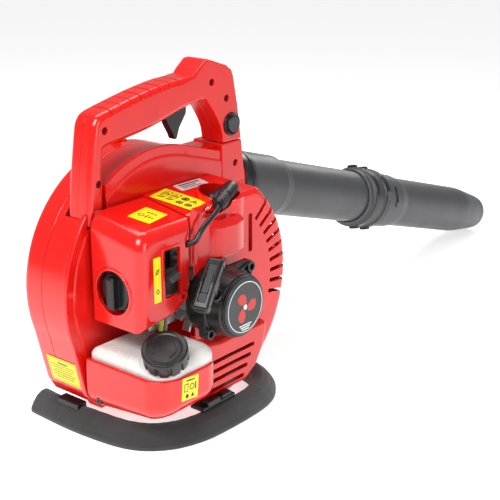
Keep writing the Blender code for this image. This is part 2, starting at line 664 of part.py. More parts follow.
def build_air_box_cover():
    slope = [(-0.105, 0.1290), (-0.060, 0.1330), (-0.0390, 0.1430), (-0.0305, 0.1610)]
    outline = (slope + [(-0.0305, SHELF_Z), (-0.085, SHELF_Z)]
               + arc((-0.087, SHELF_Z - 0.018), 0.018, 80, 180, 6))
    cover = prism(outline, BACK_FACE_Y - 0.005, -0.1155)
    tilt_top(cover, SHELF_Z - 0.019)
    open_face(cover, Y_AXIS)
    open_face(cover, X_AXIS)
    open_lowest(cover)
    bevel(cover, 0.011, 2, angle=50)
    shell(cover)
    cut(cover, rod((-0.12, -0.0755, 0.165), (-0.09, -0.0755, 0.165), 0.0235, sides=24),
        box((-0.0735, -0.13, 0.159), (-0.0510, -0.105, 0.209)),
        rod((-0.0470, -0.13, 0.1545), (-0.0470, -0.105, 0.1545), 0.0035, sides=16),
        box((-0.0425, -0.13, 0.2035), (-0.0250, -0.109, 0.2110)))
    part(cover, "air_box_cover", "red_plastic")


def tilt_top(obj, level):
    """Lower the top of a cover's outline more and more away from the fan casing."""
    for vertex in obj.data.vertices:
        if vertex.co.z > level:
            vertex.co.z += SHELF_TILT * (vertex.co.y - BACK_FACE_Y)
    return obj


def open_lowest(obj):
    """Remove the side faces that look down."""
    work = bmesh.new()
    work.from_mesh(obj.data)
    work.normal_update()
    gone = [face for face in work.faces if face.normal.z < -0.3]
    bmesh.ops.delete(work, geom=gone, context="FACES")
    work.to_mesh(obj.data)
    work.free()


# ---- Engine cover -----------------------------------------------------------------------------------
def drum_outline(radius, left, low_angle, top):
    """The cover's outline: a flat shelf, the drum's arc and a straight edge at the back."""
    centre = (0.0046, CRANK_Z)
    high = math.degrees(math.asin((top - CRANK_Z) / radius))
    return [(left, top)] + arc(centre, radius, high, low_angle, 13) + [(left, 0.045)]


TRAY = [(-0.0255, 0.0935), (0.0042, 0.0875), (0.0850, 0.0880), (0.0765, 0.0585), (0.0642, 0.0400),
        (0.0464, 0.0280), (-0.0255, 0.0280)]


def build_engine_cover():
    cover = prism(drum_outline(COVER_R, -0.026, -97, SHELF_Z), BACK_FACE_Y - 0.0005, COVER_FACE_Y)
    tilt_top(cover, SHELF_Z - 0.001)
    open_face(cover, Y_AXIS)
    open_face(cover, -X_AXIS)
    bevel(cover, 0.011, 2, angle=60)
    shell(cover)
    tray = bevel(prism(TRAY, COVER_FACE_Y + 0.0045, COVER_FACE_Y - 0.011), 0.004, 1)
    hollow = prism(inset(TRAY, 0.003), COVER_FACE_Y + 0.015, COVER_FACE_Y - 0.0085)
    tower = box((-0.002, COVER_FACE_Y - 0.009, 0.1830), (0.058, COVER_FACE_Y + 0.001, 0.2200))
    bevel(tower, 0.005, 1)
    tower_hollow = box((0.001, COVER_FACE_Y - 0.0062, 0.1860), (0.055, COVER_FACE_Y + 0.008, 0.2150))
    plug_tub = tilt_top(box((0.0190, -0.1085, 0.2165), (0.0700, -0.058, SHELF_Z - 0.001)), 0.230)
    join(cover, tray, tower, plug_tub)
    cut(cover, hollow, tower_hollow,
        box((0.0225, -0.125, 0.2205), (0.0665, -0.0615, 0.30)),
        rod(PLUG_SEAT, PLUG_SEAT + PLUG_AXIS * 0.05, 0.0150, sides=24),
        rod(CAP_ELBOW, CAP_TAIL, 0.0105, sides=24),
        rod(on_crank(-0.13), on_crank(-0.10), 0.0345, sides=24),
        cover_slots())
    part(cover, "engine_cover", "red_plastic")


def cover_slots():
    """Cutter for the grille round the front edge, the louvres below and the tall slot beside the plug."""
    slots = box((0.0630, -0.125, 0.172), (0.0690, -0.100, 0.2130))
    for index in range(9):
        angle = math.radians(-14 + index * 7.1)
        slot = box((0.096, -0.120, -0.0022), (0.132, -0.0915, 0.0022))
        slot.data.transform(Matrix.Translation((0.0046, 0, CRANK_Z)) @ Matrix.Rotation(-angle, 4, "Y"))
        slots = merged(slots, slot)
    for index in range(4):
        low = 0.0340 + index * 0.0105
        slots = merged(slots, box((-0.0180, -0.13, low), (0.0420 + index * 0.006, -0.116, low + 0.0045)))
    return slots


def build_heat_shield():
    """Angle plate between the crankcase and the fuel lines."""
    plate = box((-0.0700, -0.0905, 0.1160), (-0.0330, -0.0880, 0.1680))
    flange = box((-0.0355, -0.0890, 0.1160), (-0.0330, -0.0520, 0.1680))
    part(join(plate, flange), "heat_shield", "steel")


# ---- Fuel system ------------------------------------------------------------------------------------
def build_fuel_tank():
    tank = box((-0.1130, -0.1480, 0.0380), (-0.0285, -0.0480, 0.1040))
    bevel(tank, 0.010, 2)
    neck = rod(FILLER - FILLER_AXIS * 0.010, FILLER + FILLER_AXIS * 0.010, 0.0165, sides=20)
    cut(tank, rod(FILLER, FILLER + FILLER_AXIS * 0.05, 0.0270, sides=20))
    join(tank, neck)
    hollow = box((-0.1105, -0.1455, 0.0405), (-0.0310, -0.0505, 0.0860))
    cut(tank, bevel(hollow, 0.007, 1),
        rod(FILLER - FILLER_AXIS * 0.035, FILLER + FILLER_AXIS * 0.02, 0.0135, sides=20),
        rod((-0.0560, -0.0950, 0.08), (-0.0560, -0.0950, 0.12), 0.0060, sides=20))
    part(tank, "fuel_tank", "tank_plastic")

    cap = turned([(0, 0.0185), (0.0205, 0.0185), (0.0225, 0.0165), (0.0225, 0.0008), (0.0172, 0.0008),
                  (0.0172, 0.0150), (0, 0.0150)], FILLER, FILLER_AXIS, 24)
    part(cap, "fuel_cap", "black_plastic", pivot=FILLER)


def build_fuel_lines():
    grommet = turned([(0, 0.008), (0.0085, 0.008), (0.0085, 0.0008), (0.0055, 0.0008), (0.0055, -0.008),
                      (0, -0.008)], (-0.0560, -0.0950, 0.104), Z_AXIS, 20)
    for x in (-0.0590, -0.0530):
        cut(grommet, rod((x, -0.0950, 0.090), (x, -0.0950, 0.12), 0.0022, sides=12))
    part(grommet, "fuel_line_grommet", "rubber")
    fuel_line = tube([(-0.0590, -0.0950, 0.0500), (-0.0590, -0.0950, 0.1100), (-0.0600, -0.0960, 0.1300),
                      (-0.0640, -0.0945, 0.1520), (-0.0650, -0.0925, 0.1660), (-0.0655, -0.0925, 0.1800)], 0.0018)
    part(fuel_line, "fuel_line", "fuel_hose")
    return_line = tube([(-0.0530, -0.0950, 0.0960), (-0.0530, -0.0950, 0.1100), (-0.0515, -0.0950, 0.1300),
                        (-0.0525, -0.0935, 0.1520), (-0.0530, -0.0925, 0.1690)], 0.0018)
    part(return_line, "return_line", "grey_hose")
    clunk = turned([(0, 0.018), (0.004, 0.018), (0.0065, 0.015), (0.0065, 0.001), (0, 0.001)],
                   (-0.0590, -0.0950, 0.0405), Z_AXIS, 20)
    cut(clunk, rod((-0.0590, -0.0950, 0.049), (-0.0590, -0.0950, 0.07), 0.0022, sides=12))
    part(clunk, "fuel_filter", "filter_foam")


def build_tank_cradle():
    """Bumper that wraps the tank's lower half and bolts to the casing."""
    cradle = box((-0.1180, -0.1530, 0.0330), (-0.0275, -0.0450, 0.0930))
    bevel(cradle, 0.012, 2)
    tank_space = bevel(box((-0.1140, -0.1490, 0.0375), (-0.0050, -0.0100, 0.12)), 0.008, 2)
    cut(cradle, tank_space,
        box((-0.1000, -0.1350, 0.02), (-0.0400, -0.0600, 0.06)),
        rod((-0.13, -0.0600, 0.0460), (-0.11, -0.0600, 0.0460), 0.0035, sides=16))
    part(cradle, "tank_cradle", "red_plastic")


# ---- Recoil starter ---------------------------------------------------------------------------------
def build_recoil():
    flange = box((-0.0345, -0.1335, CRANK_Z - 0.0330), (0.0425, -0.1245, CRANK_Z + 0.0350))
    bevel(flange, 0.006, 1)
    body = turned([(0, 0.0439), (0.0300, 0.0439), (0.0335, 0.0400), (0.0355, 0.011), (0.0355, 0.0), (0, 0)],
                  on_crank(-0.1106), -Y_AXIS, 24)
    join(flange, body)
    lugs = ((0.0365, 0.0265), (-0.0290, -0.0270))
    for x, z in lugs:
        join(flange, rod(on_crank(-0.1300, x, z), on_crank(-0.1365, x, z), 0.0062, sides=16))
    eyelet = rod(ROPE_EXIT - PULL_AXIS * 0.008, ROPE_EXIT + PULL_AXIS * 0.0080, 0.0064)
    join(flange, eyelet)
    cavity = turned([(0, 0.0402), (0.0270, 0.0402), (0.0315, 0.0350), (0.0330, 0.0), (0.0330, -0.01), (0, -0.01)],
                    on_crank(-0.1106), -Y_AXIS, 18)
    cut(flange, cavity, rod(ROPE_EXIT - PULL_AXIS * 0.022, ROPE_EXIT + PULL_AXIS * 0.02, 0.0028, sides=12))
    for x, z in lugs:
        cut(flange, rod(on_crank(-0.1310, x, z), on_crank(-0.1380, x, z), 0.0032, sides=12))
    part(flange, "recoil_housing", "black_plastic")

    badge = turned([(0, 0.003), (0.0295, 0.003), (0.0305, 0.002), (0.0305, 0), (0, 0)],
                   on_crank(-0.1549), -Y_AXIS, 24)
    part(badge, "recoil_badge", "grey_plastic")

    pulley = turned([(0.0042, 0.0140), (0.0110, 0.0140), (0.0110, 0.0060), (0.0192, 0.0060), (0.0192, 0.0140),
                     (0.0250, 0.0140), (0.0250, 0.0125), (0.0205, 0.0110), (0.0205, 0.0040), (0.0250, 0.0025),
                     (0.0250, 0.0010), (0.0100, 0.0010), (0.0100, -0.0130), (0.0042, -0.0130)],
                    on_crank(-0.1360), -Y_AXIS)
    part(pulley, "starter_pulley", "black_plastic", pivot=on_crank(-0.1430))
    rope = ring(on_crank(-0.1464), Y_AXIS, 0.0209, 0.0240, 0.0058)
    part(rope, "starter_rope", "cord", pivot=on_crank(-0.1430))
    spring = ring(on_crank(-0.1496), Y_AXIS, 0.0120, 0.0185, 0.0070)
    part(spring, "recoil_spring", "steel")
    dog = turned([(0, 0.0100), (0.0180, 0.0100), (0.0180, 0.0080), (0.0100, 0.0080), (0.0100, 0), (0, 0)],
                 on_crank(-0.1100), -Y_AXIS, 20)
    cut(dog, rod(on_crank(-0.12), on_crank(-0.10), 0.0044, sides=20))
    part(dog, "starter_dog", "steel", pivot=CRANK)

    across = GRIP_AXIS.cross(PULL_AXIS)
    turn = Matrix((PULL_AXIS, across, GRIP_AXIS)).transposed().to_4x4()
    place = Matrix.Translation(ROPE_EXIT + PULL_AXIS * GRIP_REACH) @ turn
    grip = box((-0.0060, -0.0085, -0.0270), (0.0080, 0.0085, 0.0270))
    hollow = box((0.0050, -0.0040, -0.0200), (0.02, 0.0040, 0.0200))
    for obj in (grip, hollow):
        obj.data.transform(place)
    cut(bevel(grip, 0.004, 2), hollow)
    join(grip, rod(ROPE_EXIT + PULL_AXIS * 0.0105, ROPE_EXIT + PULL_AXIS * (GRIP_REACH - 0.004), 0.0050, 0.0070))
    part(grip, "starter_handle", "black_plastic", pivot=ROPE_EXIT)


# ---- Handle -------------------------------------------------------------------------------------------
GRIP_TOP = [(-0.103, 0.224), (-0.099, 0.262), (-0.094, 0.296), (-0.090, 0.319), (-0.086, 0.3285),
            (-0.078, 0.3345), (-0.055, 0.3400), (-0.020, 0.3470), (0.014, 0.3520), (0.040, 0.3535), (0.056, 0.3540)]
HOOD = [(0.0615, 0.3585), (0.0735, 0.3675), (0.0800, 0.3680), (0.1080, 0.3585), (0.1165, 0.3520),
        (0.1195, 0.3450), (0.1265, 0.3120), (0.1325, 0.2725)]
GRIP_UNDER = [(0.1015, 0.2725), (0.0985, 0.2880), (0.0900, 0.3040), (0.0780, 0.3205), (0.0710, 0.3275),
              (0.0620, 0.3265), (0.0300, 0.3180), (0.0000, 0.3105), (-0.0220, 0.3065), (-0.0490, 0.3030),
              (-0.0720, 0.3005), (-0.0785, 0.2940), (-0.0785, 0.2620), (-0.0800, 0.2240)]
HANDLE_RIGHT_Y = HANDLE_Y - HANDLE_HALF
SCREWS = [(-0.076, 0.318), (-0.0870, 0.266), (0.083, 0.343), (0.107, 0.322)]
BUTTON = (0.1150, 0.292)
TRIGGER_PIVOT = Vector((0.0310, HANDLE_Y, 0.3330))


def rounded_slab(outline, near, far, width):
    """A flat slab with its far rim rounded: fully on the grip and the rear leg, lightly on the hood."""
    slab = prism(outline, near, far)
    mesh = slab.data
    weights = mesh.attributes.new("bevel_weight_edge", "FLOAT", "EDGE")
    for edge in mesh.edges:
        ends = [mesh.vertices[index].co for index in edge.vertices]
        if all(abs(end.y - far) < 1e-5 for end in ends):
            middle_x = (ends[0].x + ends[1].x) / 2
            weights.data[edge.index].value = 1.0 if middle_x < 0.058 else 0.2
    change = bevel(slab, width, 2).modifiers["bevel"]
    change.limit_method = "WEIGHT"
    return slab


def handle_half(side):
    """Hollow half of the D-shaped handle, with half of the trigger's slot."""
    outline = GRIP_TOP + HOOD + GRIP_UNDER
    half = rounded_slab(outline, HANDLE_Y + side * GAP / 2, HANDLE_Y + side * HANDLE_HALF, 0.008)
    hollow = rounded_slab(inset(outline, WALL), HANDLE_Y - side * 0.01,
                          HANDLE_Y + side * (HANDLE_HALF - WALL), 0.006)
    slot = box((0.0130, HANDLE_Y - 0.0052, 0.300), (0.0600, HANDLE_Y + 0.0052, 0.3295))
    return cut(half, hollow, slot)


def build_handle():
    right = handle_half(-1)
    for x, z in SCREWS:
        cut(right, rod((x, HANDLE_RIGHT_Y - 0.01, z), (x, HANDLE_RIGHT_Y + 0.0016, z), 0.0040, sides=12))
    seat = rod((BUTTON[0], HANDLE_RIGHT_Y - 0.01, BUTTON[1]), (BUTTON[0], HANDLE_RIGHT_Y + 0.008, BUTTON[1]),
               0.0108, sides=24)
    part(cut(right, seat), "handle_right_half", "red_plastic")
    part(handle_half(1), "handle_left_half", "red_plastic")


def build_controls():
    outline = [(0.0240, 0.3360), (0.0220, 0.3120), (0.0290, 0.3010), (0.0355, 0.2880), (0.0385, 0.2875),
               (0.0420, 0.2940), (0.0470, 0.3030), (0.0545, 0.3110), (0.0560, 0.3260), (0.0400, 0.3370)]
    trigger = bevel(prism(outline, HANDLE_Y - 0.0045, HANDLE_Y + 0.0045), 0.001, 1)
    cut(trigger, rod(TRIGGER_PIVOT - Y_AXIS * 0.01, TRIGGER_PIVOT + Y_AXIS * 0.01, 0.0024, sides=16))
    part(trigger, "throttle_trigger", "black_plastic", pivot=TRIGGER_PIVOT)
    pin = rod(TRIGGER_PIVOT - Y_AXIS * 0.0135, TRIGGER_PIVOT + Y_AXIS * 0.0135, 0.0020, sides=16)
    part(pin, "trigger_pivot_pin", "steel")

    face = Vector((BUTTON[0], HANDLE_RIGHT_Y, BUTTON[1]))
    bezel = turned([(0.0122, 0.0022), (0.0128, 0.0008), (0.0128, 0.0004), (0.0103, 0.0004), (0.0103, -0.0080),
                    (0.0092, -0.0080), (0.0092, 0.0022)], face, -Y_AXIS, 20)
    part(bezel, "stop_switch_bezel", "black_plastic")
    button = turned([(0, 0.0050), (0.0080, 0.0050), (0.0088, 0.0042), (0.0088, -0.0040), (0, -0.0040)],
                    face, -Y_AXIS, 20)
    part(button, "stop_button", "grey_plastic", pivot=face)

    cable = tube([(0.0500, HANDLE_Y - 0.009, 0.3320), (0.0700, HANDLE_Y - 0.009, 0.3390),
                  (0.0900, HANDLE_Y - 0.0040, 0.3330), (0.1050, HANDLE_Y + 0.0020, 0.3050),
                  (0.1150, HANDLE_Y + 0.0040, 0.2800)], 0.0016)
    part(cable, "throttle_cable", "rubber")


# ---- Stand and tubes ------------------------------------------------------------------------------------
STAND_PATH = [(-0.1055, 0.046), (-0.1070, 0.012), (-0.1070, -0.030), (-0.1000, -0.085), (-0.0810, -0.1140),
              (-0.0500, -0.1290), (-0.0080, -0.1330), (0.0500, -0.1305), (0.0820, -0.1150), (0.0990, -0.0880),
              (0.1040, -0.030), (0.1030, 0.046)]
STAND_SECTION = [(-0.0150, 0), (0.0150, 0), (0.0150, 0.0060), (0.0120, 0.0170), (0.0070, 0.0215), (0.0020, 0.0215),
                 (-0.0030, 0.0190), (-0.0110, 0.0110), (-0.0150, 0.0050)]


def build_stand():
    """Foam-covered horseshoe: one section swept along a rounded path on the floor."""
    path = rounded_path([(x, y, 0) for x, y in STAND_PATH], 2)
    work = bmesh.new()
    rings = []
    for index, place in enumerate(path):
        ahead = path[min(index + 1, len(path) - 1)] - path[max(index - 1, 0)]
        inward = Z_AXIS.cross(ahead).normalized()
        rings.append([work.verts.new(place + inward * across + Z_AXIS * up) for across, up in STAND_SECTION])
    for first, second in zip(rings, rings[1:]):
        for index in range(len(STAND_SECTION)):
            following = (index + 1) % len(STAND_SECTION)
            work.faces.new((first[index], first[following], second[following], second[index]))
    work.faces.new(rings[0])
    work.faces.new(rings[-1])
    bmesh.ops.recalc_face_normals(work, faces=work.faces)
    stand = mesh_object("stand", work)
    for x in (-0.1045, 0.0985):
        join(stand, box((x - 0.006, -0.020, 0.0120), (x + 0.006, 0.012, 0.0258)))
    part(stand, "stand", "foam_rubber", smooth=50)
    clip = box((-0.0350, -0.1300, 0.0222), (0.0165, -0.1108, 0.0270))
    part(clip, "stand_clip", "black_plastic")


def build_tubes():
    start = tube_point(0)
    clamp = [(0.0392, 0.1345), (0.0402, 0.1335), (0.0402, 0.1170), (0.0392, 0.1160), (0.0352, 0.1160),
             (0.0352, 0.1345)]
    part(turned(clamp, start, ALONG_TUBE, 20), "tube_clamp_ring", "black_plastic")

    bore = TUBE_R - TUBE_WALL
    rear = [(TUBE_R, 0.4850), (TUBE_R, 0.2150), (0.0380, 0.2040), (0.0380, 0.1390), (0.0368, 0.1380),
            (TUBE_R, 0.1380), (TUBE_R, 0.1000), (bore, 0.1000), (bore, 0.4850)]
    rear = turned(rear, start, ALONG_TUBE, TUBE_SIDES)
    pin_root = tube_point(0.466, side=-0.0335)
    join(rear, rod(pin_root, pin_root - Y_AXIS * 0.0050, 0.0028, sides=16))
    part(rear, "blow_tube_rear", "tube_plastic")

    socket = TUBE_R + SOCKET_GAP
    nozzle = [(0.0262, 0.7640), (TUBE_R, 0.6950), (TUBE_R, 0.5000), (0.0374, 0.4850), (0.0374, 0.4430),
              (0.0408, 0.4415), (0.0412, 0.4300), (0.0395, 0.4285), (0.0395, 0.4160), (0.0412, 0.4145),
              (0.0408, 0.4030), (0.0378, 0.4015), (0.0378, 0.3940), (socket, 0.3930), (socket, 0.4870),
              (bore, 0.4880), (bore, 0.6940), (0.0242, 0.7640)]
    nozzle = turned(nozzle, start, ALONG_TUBE, TUBE_SIDES)
    for angle in (75, 165, 255, 300):
        lug_axis = ACROSS_TUBE * math.sin(math.radians(angle)) + Y_AXIS * math.cos(math.radians(angle))
        root = tube_point(0.434) + lug_axis * 0.0395
        join(nozzle, rod(root, root + lug_axis * 0.0050, 0.0050, sides=4))
    slot = box((-0.0036, -0.045, -0.0036), (0.0036, -0.025, 0.0240))
    slot.data.transform(Matrix.Translation(tube_point(0.466)) @ Matrix.Rotation(OUTLET_SLOPE, 4, "Y"))
    cut(nozzle, slot)
    part(nozzle, "blow_tube_nozzle", "tube_plastic", pivot=tube_point(0.5))


# ---- Assembly -------------------------------------------------------------------------------------------
build_fan_casing()
build_inlet_guard()
build_impeller()
build_crankshaft()
build_crankcase()
build_cylinder()
build_piston()
build_flywheel()
build_ignition()
build_exhaust()
build_carburettor()
build_air_filter()
build_choke()
build_air_box_cover()
build_engine_cover()
build_heat_shield()
build_fuel_tank()
build_fuel_lines()
build_tank_cradle()
build_recoil()
build_handle()
build_controls()
build_stand()
build_tubes()
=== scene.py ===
"""Looks of the handheld leaf blower: moulded shells, labels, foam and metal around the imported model.

Shapes are built in the crankshaft's own frame: x from the crankshaft's axis, y from the parting plane of
the fan casing (the inlet is at +y, the recoil starter at -y) and z from the floor. `piece` moves each
finished one to the world and lets it ride on its body.
"""
import json
import math

import bmesh
import bpy
from mathutils import Matrix, Vector
from mathutils.geometry import delaunay_2d_cdt


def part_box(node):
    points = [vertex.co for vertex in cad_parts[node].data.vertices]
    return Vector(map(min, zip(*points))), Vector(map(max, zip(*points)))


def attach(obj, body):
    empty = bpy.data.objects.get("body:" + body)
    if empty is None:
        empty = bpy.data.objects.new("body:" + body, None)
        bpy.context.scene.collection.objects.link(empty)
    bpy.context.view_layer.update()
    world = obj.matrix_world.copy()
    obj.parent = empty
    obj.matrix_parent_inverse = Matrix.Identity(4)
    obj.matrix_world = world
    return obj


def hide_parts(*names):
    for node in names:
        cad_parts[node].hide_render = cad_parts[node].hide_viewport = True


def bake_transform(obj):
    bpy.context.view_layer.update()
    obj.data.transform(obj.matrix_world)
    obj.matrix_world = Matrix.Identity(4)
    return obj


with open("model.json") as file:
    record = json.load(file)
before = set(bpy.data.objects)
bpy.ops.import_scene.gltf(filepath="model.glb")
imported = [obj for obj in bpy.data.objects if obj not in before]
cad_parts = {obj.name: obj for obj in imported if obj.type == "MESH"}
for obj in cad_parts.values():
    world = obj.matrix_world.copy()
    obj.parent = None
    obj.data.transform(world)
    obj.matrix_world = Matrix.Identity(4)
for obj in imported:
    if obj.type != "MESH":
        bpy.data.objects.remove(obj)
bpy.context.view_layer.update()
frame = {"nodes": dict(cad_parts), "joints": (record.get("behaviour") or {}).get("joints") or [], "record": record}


def middle(node):
    low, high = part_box(node)
    return (low + high) / 2


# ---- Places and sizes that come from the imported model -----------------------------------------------
CRANK_X = middle("impeller_nut").x
CRANK_Z = middle("impeller_nut").z
TO_WORLD = Matrix.Translation((CRANK_X, 0, 0))
INLET_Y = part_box("volute_outer_half")[1].y - 0.0075
CASING_BACK_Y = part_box("engine_cover")[1].y
COVER_FACE_Y = CASING_BACK_Y - 0.068
AIR_BOX_FACE_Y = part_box("air_box_cover")[0].y
HANDLE_Y = middle("handle_left_half").y - 0.0084
TANK_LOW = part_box("fuel_tank")[0] - Vector((CRANK_X, 0, 0))
CRADLE_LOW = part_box("tank_cradle")[0] - Vector((CRANK_X, 0, 0))
AXES = {joint["name"]: Vector(joint["axis"]) for joint in frame["joints"]}

# ---- Moulded shells ---------------------------------------------------------------------------------
SEAM = 0.0002               # half of the gap at a parting line
WALL = 0.0028
SHELF_Z = 0.2420            # top of the engine's covers, next to the casing
SHELF_TILT = 0.17           # their fall per metre away from the casing
COVER_R = 0.1275
COVER_CENTRE_X = 0.0046
SCROLL_TOP_R = 0.1455
SCROLL_FULL_ANGLE = 100
SCROLL_GROWTH = 0.0092      # scroll radius gained per radian
OUTLET_SLOPE = math.radians(16.8)
OUTLET_LOW_R = 0.075
OUTLET_END = 0.100
SPIGOT_END = 0.115
TUBE_AXIS_R = 0.1135
TUBE_R = 0.0346
TUBE_WALL = 0.002

X_AXIS = Vector((1, 0, 0))
Y_AXIS = Vector((0, 1, 0))
Z_AXIS = Vector((0, 0, 1))
CRANK = Vector((0, 0, CRANK_Z))
ALONG_TUBE = Vector((math.cos(OUTLET_SLOPE), 0, -math.sin(OUTLET_SLOPE)))
ACROSS_TUBE = Vector((math.sin(OUTLET_SLOPE), 0, math.cos(OUTLET_SLOPE)))

PLUG_SEAT = Vector((0.0145, -0.0735, 0.215))
PLUG_AXIS = Vector((0.76, -0.41, 0.5)).normalized()
CAP_ELBOW = PLUG_SEAT + PLUG_AXIS * 0.050
CAP_TAIL = Vector((0.006, -0.1145, 0.2335))
WELL = Vector((0.0415, -0.0885, 0.2240))        # middle of the round mouth above the spark plug
FILLER = Vector((-0.0900, -0.1315, 0.1040))
FILLER_AXIS = AXES["cap_unscrew"]
PULL_AXIS = AXES["starter_pull"]
ROPE_EXIT = Vector((-0.0300, -0.1460, 0.1550))
GRIP_AXIS = PULL_AXIS.cross((0.303, -0.950, -0.036)).normalized()
GRIP_REACH = 0.0293
KNOB = Vector((-0.0992, -0.0755, 0.165))


# ---- Materials --------------------------------------------------------------------------------------
class Look:
    """A procedural material, put together node by node in the space of the object it is on."""

    def __init__(self, name, colour, roughness, metallic=0.0):
        self.material = bpy.data.materials.new(name)
        self.material.use_nodes = True
        self.material.diffuse_color = (*colour, 1)
        self.tree = self.material.node_tree
        self.shader = self.tree.nodes["Principled BSDF"]
        self.shader.inputs["Metallic"].default_value = metallic
        self.place = self.tree.nodes.new("ShaderNodeTexCoord").outputs["Object"]
        self.colour = colour
        self.roughness = roughness
        self.normal = None

    def node(self, kind, **values):
        made = self.tree.nodes.new(kind)
        for name, value in values.items():
            setattr(made, name, value)
        return made

    def link(self, source, target):
        self.tree.links.new(source, target)

    def noise(self, scale, detail=3.0, stretch=(1, 1, 1)):
        """Noise with the given scale per metre, stretched along chosen axes."""
        mapping = self.node("ShaderNodeMapping")
        mapping.inputs["Scale"].default_value = stretch
        self.link(self.place, mapping.inputs["Vector"])
        made = self.node("ShaderNodeTexNoise")
        made.inputs["Scale"].default_value = scale
        made.inputs["Detail"].default_value = detail
        self.link(mapping.outputs["Vector"], made.inputs["Vector"])
        return made.outputs["Fac"]

    def cells(self, scale, feature="F1"):
        made = self.node("ShaderNodeTexVoronoi", feature=feature)
        made.inputs["Scale"].default_value = scale
        self.link(self.place, made.inputs["Vector"])
        return made.outputs["Distance"]

    def ramp(self, source, low, high, start=0.3, end=0.7):
        """Map a grey texture between two numbers or two colours."""
        made = self.node("ShaderNodeMapRange")
        made.inputs["From Min"].default_value = start
        made.inputs["From Max"].default_value = end
        self.link(source, made.inputs["Value"])
        if not isinstance(low, tuple):
            made.inputs["To Min"].default_value = low
            made.inputs["To Max"].default_value = high
            return made.outputs["Result"]
        mix = self.node("ShaderNodeMix", data_type="RGBA")
        mix.inputs["A"].default_value = (*low, 1)
        mix.inputs["B"].default_value = (*high, 1)
        self.link(made.outputs["Result"], mix.inputs["Factor"])
        return mix.outputs["Result"]

    def shade(self, factor):
        return tuple(min(channel * factor, 1.0) for channel in self.colour)

    def mottle(self, scale, darker, lighter, stretch=(1, 1, 1)):
        """Vary the base colour between a darker and a lighter shade of itself."""
        colour = self.ramp(self.noise(scale, 4.0, stretch), self.shade(darker), self.shade(lighter))
        self.link(colour, self.shader.inputs["Base Color"])
        return self

    def polish(self, scale, spread, stretch=(1, 1, 1)):
        """Vary the roughness around its own value."""
        value = self.ramp(self.noise(scale, 2.0, stretch), self.roughness - spread, self.roughness + spread)
        self.link(value, self.shader.inputs["Roughness"])
        return self

    def soft_edges(self, radius):
        """Round the shading of hard edges, as a mould does."""
        made = self.node("ShaderNodeBevel", samples=6)
        made.inputs["Radius"].default_value = radius
        self.normal = made.outputs["Normal"]
        self.link(self.normal, self.shader.inputs["Normal"])
        return self

    def bump(self, height, distance, strength=1.0):
        made = self.node("ShaderNodeBump")
        made.inputs["Strength"].default_value = strength
        made.inputs["Distance"].default_value = distance
        self.link(height, made.inputs["Height"])
        if self.normal is not None:
            self.link(self.normal, made.inputs["Normal"])
        self.normal = made.outputs["Normal"]
        self.link(self.normal, self.shader.inputs["Normal"])
        return self

    def set(self, **values):
        for name, value in values.items():
            self.shader.inputs[name.replace("_", " ").title().replace("Ior", "IOR")].default_value = value
        return self


def plastic(name, colour, roughness, edge=0.0007, grain=900, depth=0.00002, coat=0.0):
    """Injection-moulded plastic: faint colour drift, uneven polish and a fine moulded grain."""
    look = Look(name, colour, roughness)
    look.mottle(14, 0.9, 1.08).polish(30, 0.05).soft_edges(edge)
    look.bump(look.noise(grain, 2.0), depth)
    look.bump(look.noise(22, 1.0), 0.00012)
    if coat:
        look.set(coat_weight=coat, coat_roughness=0.08)
    return look.material


def metal(name, colour, roughness, streaks=(1, 1, 1), cast=False):
    """Bare metal: machined streaks, or the pitted skin of a casting."""
    look = Look(name, colour, roughness, metallic=1.0)
    look.mottle(60, 0.75, 1.1).polish(200, 0.1, streaks).soft_edges(0.0004)
    look.bump(look.noise(700 if cast else 1500, 3.0, streaks), 0.00012 if cast else 0.00002)
    return look.material


def foam(name, colour, pores, depth):
    """Closed or open foam: pores, a dusty variation and no shine."""
    look = Look(name, colour, 0.9)
    look.mottle(45, 0.72, 1.3).polish(90, 0.06)
    look.bump(look.noise(60, 3.0), 0.0005)
    look.bump(look.cells(pores), depth)
    look.set(sheen_weight=0.25, sheen_roughness=0.6)
    return look.material


def translucent(name, colour, roughness, reach, glow, clear=0.0):
    """Cloudy plastic that light sinks into."""
    look = Look(name, colour, roughness)
    look.mottle(35, 0.93, 1.03).polish(60, 0.08).soft_edges(0.0008)
    look.bump(look.noise(300, 2.0), 0.00004)
    look.set(subsurface_weight=glow, subsurface_scale=reach, transmission_weight=clear)
    look.shader.inputs["Subsurface Radius"].default_value = (1.0, 0.95, 0.85)
    return look.material


def braid(name, colour):
    """Braided cord: two crossing sets of fine ribs."""
    look = Look(name, colour, 0.8)
    look.mottle(300, 0.7, 1.1)
    for turn in (0.8, -0.8):
        mapping = look.node("ShaderNodeMapping")
        mapping.inputs["Rotation"].default_value = (turn, turn, 0)
        look.link(look.place, mapping.inputs["Vector"])
        wave = look.node("ShaderNodeTexWave")
        wave.inputs["Scale"].default_value = 320
        look.link(mapping.outputs["Vector"], wave.inputs["Vector"])
        look.bump(wave.outputs["Fac"], 0.0002)
    return look.material


def paper(name, colour, roughness=0.32):
    """Printed vinyl: even, slightly glossy, with faint print noise."""
    look = Look(name, colour, roughness)
    look.mottle(400, 0.94, 1.04).polish(120, 0.05)
    look.bump(look.noise(90, 2.0), 0.00005)
    return look.material


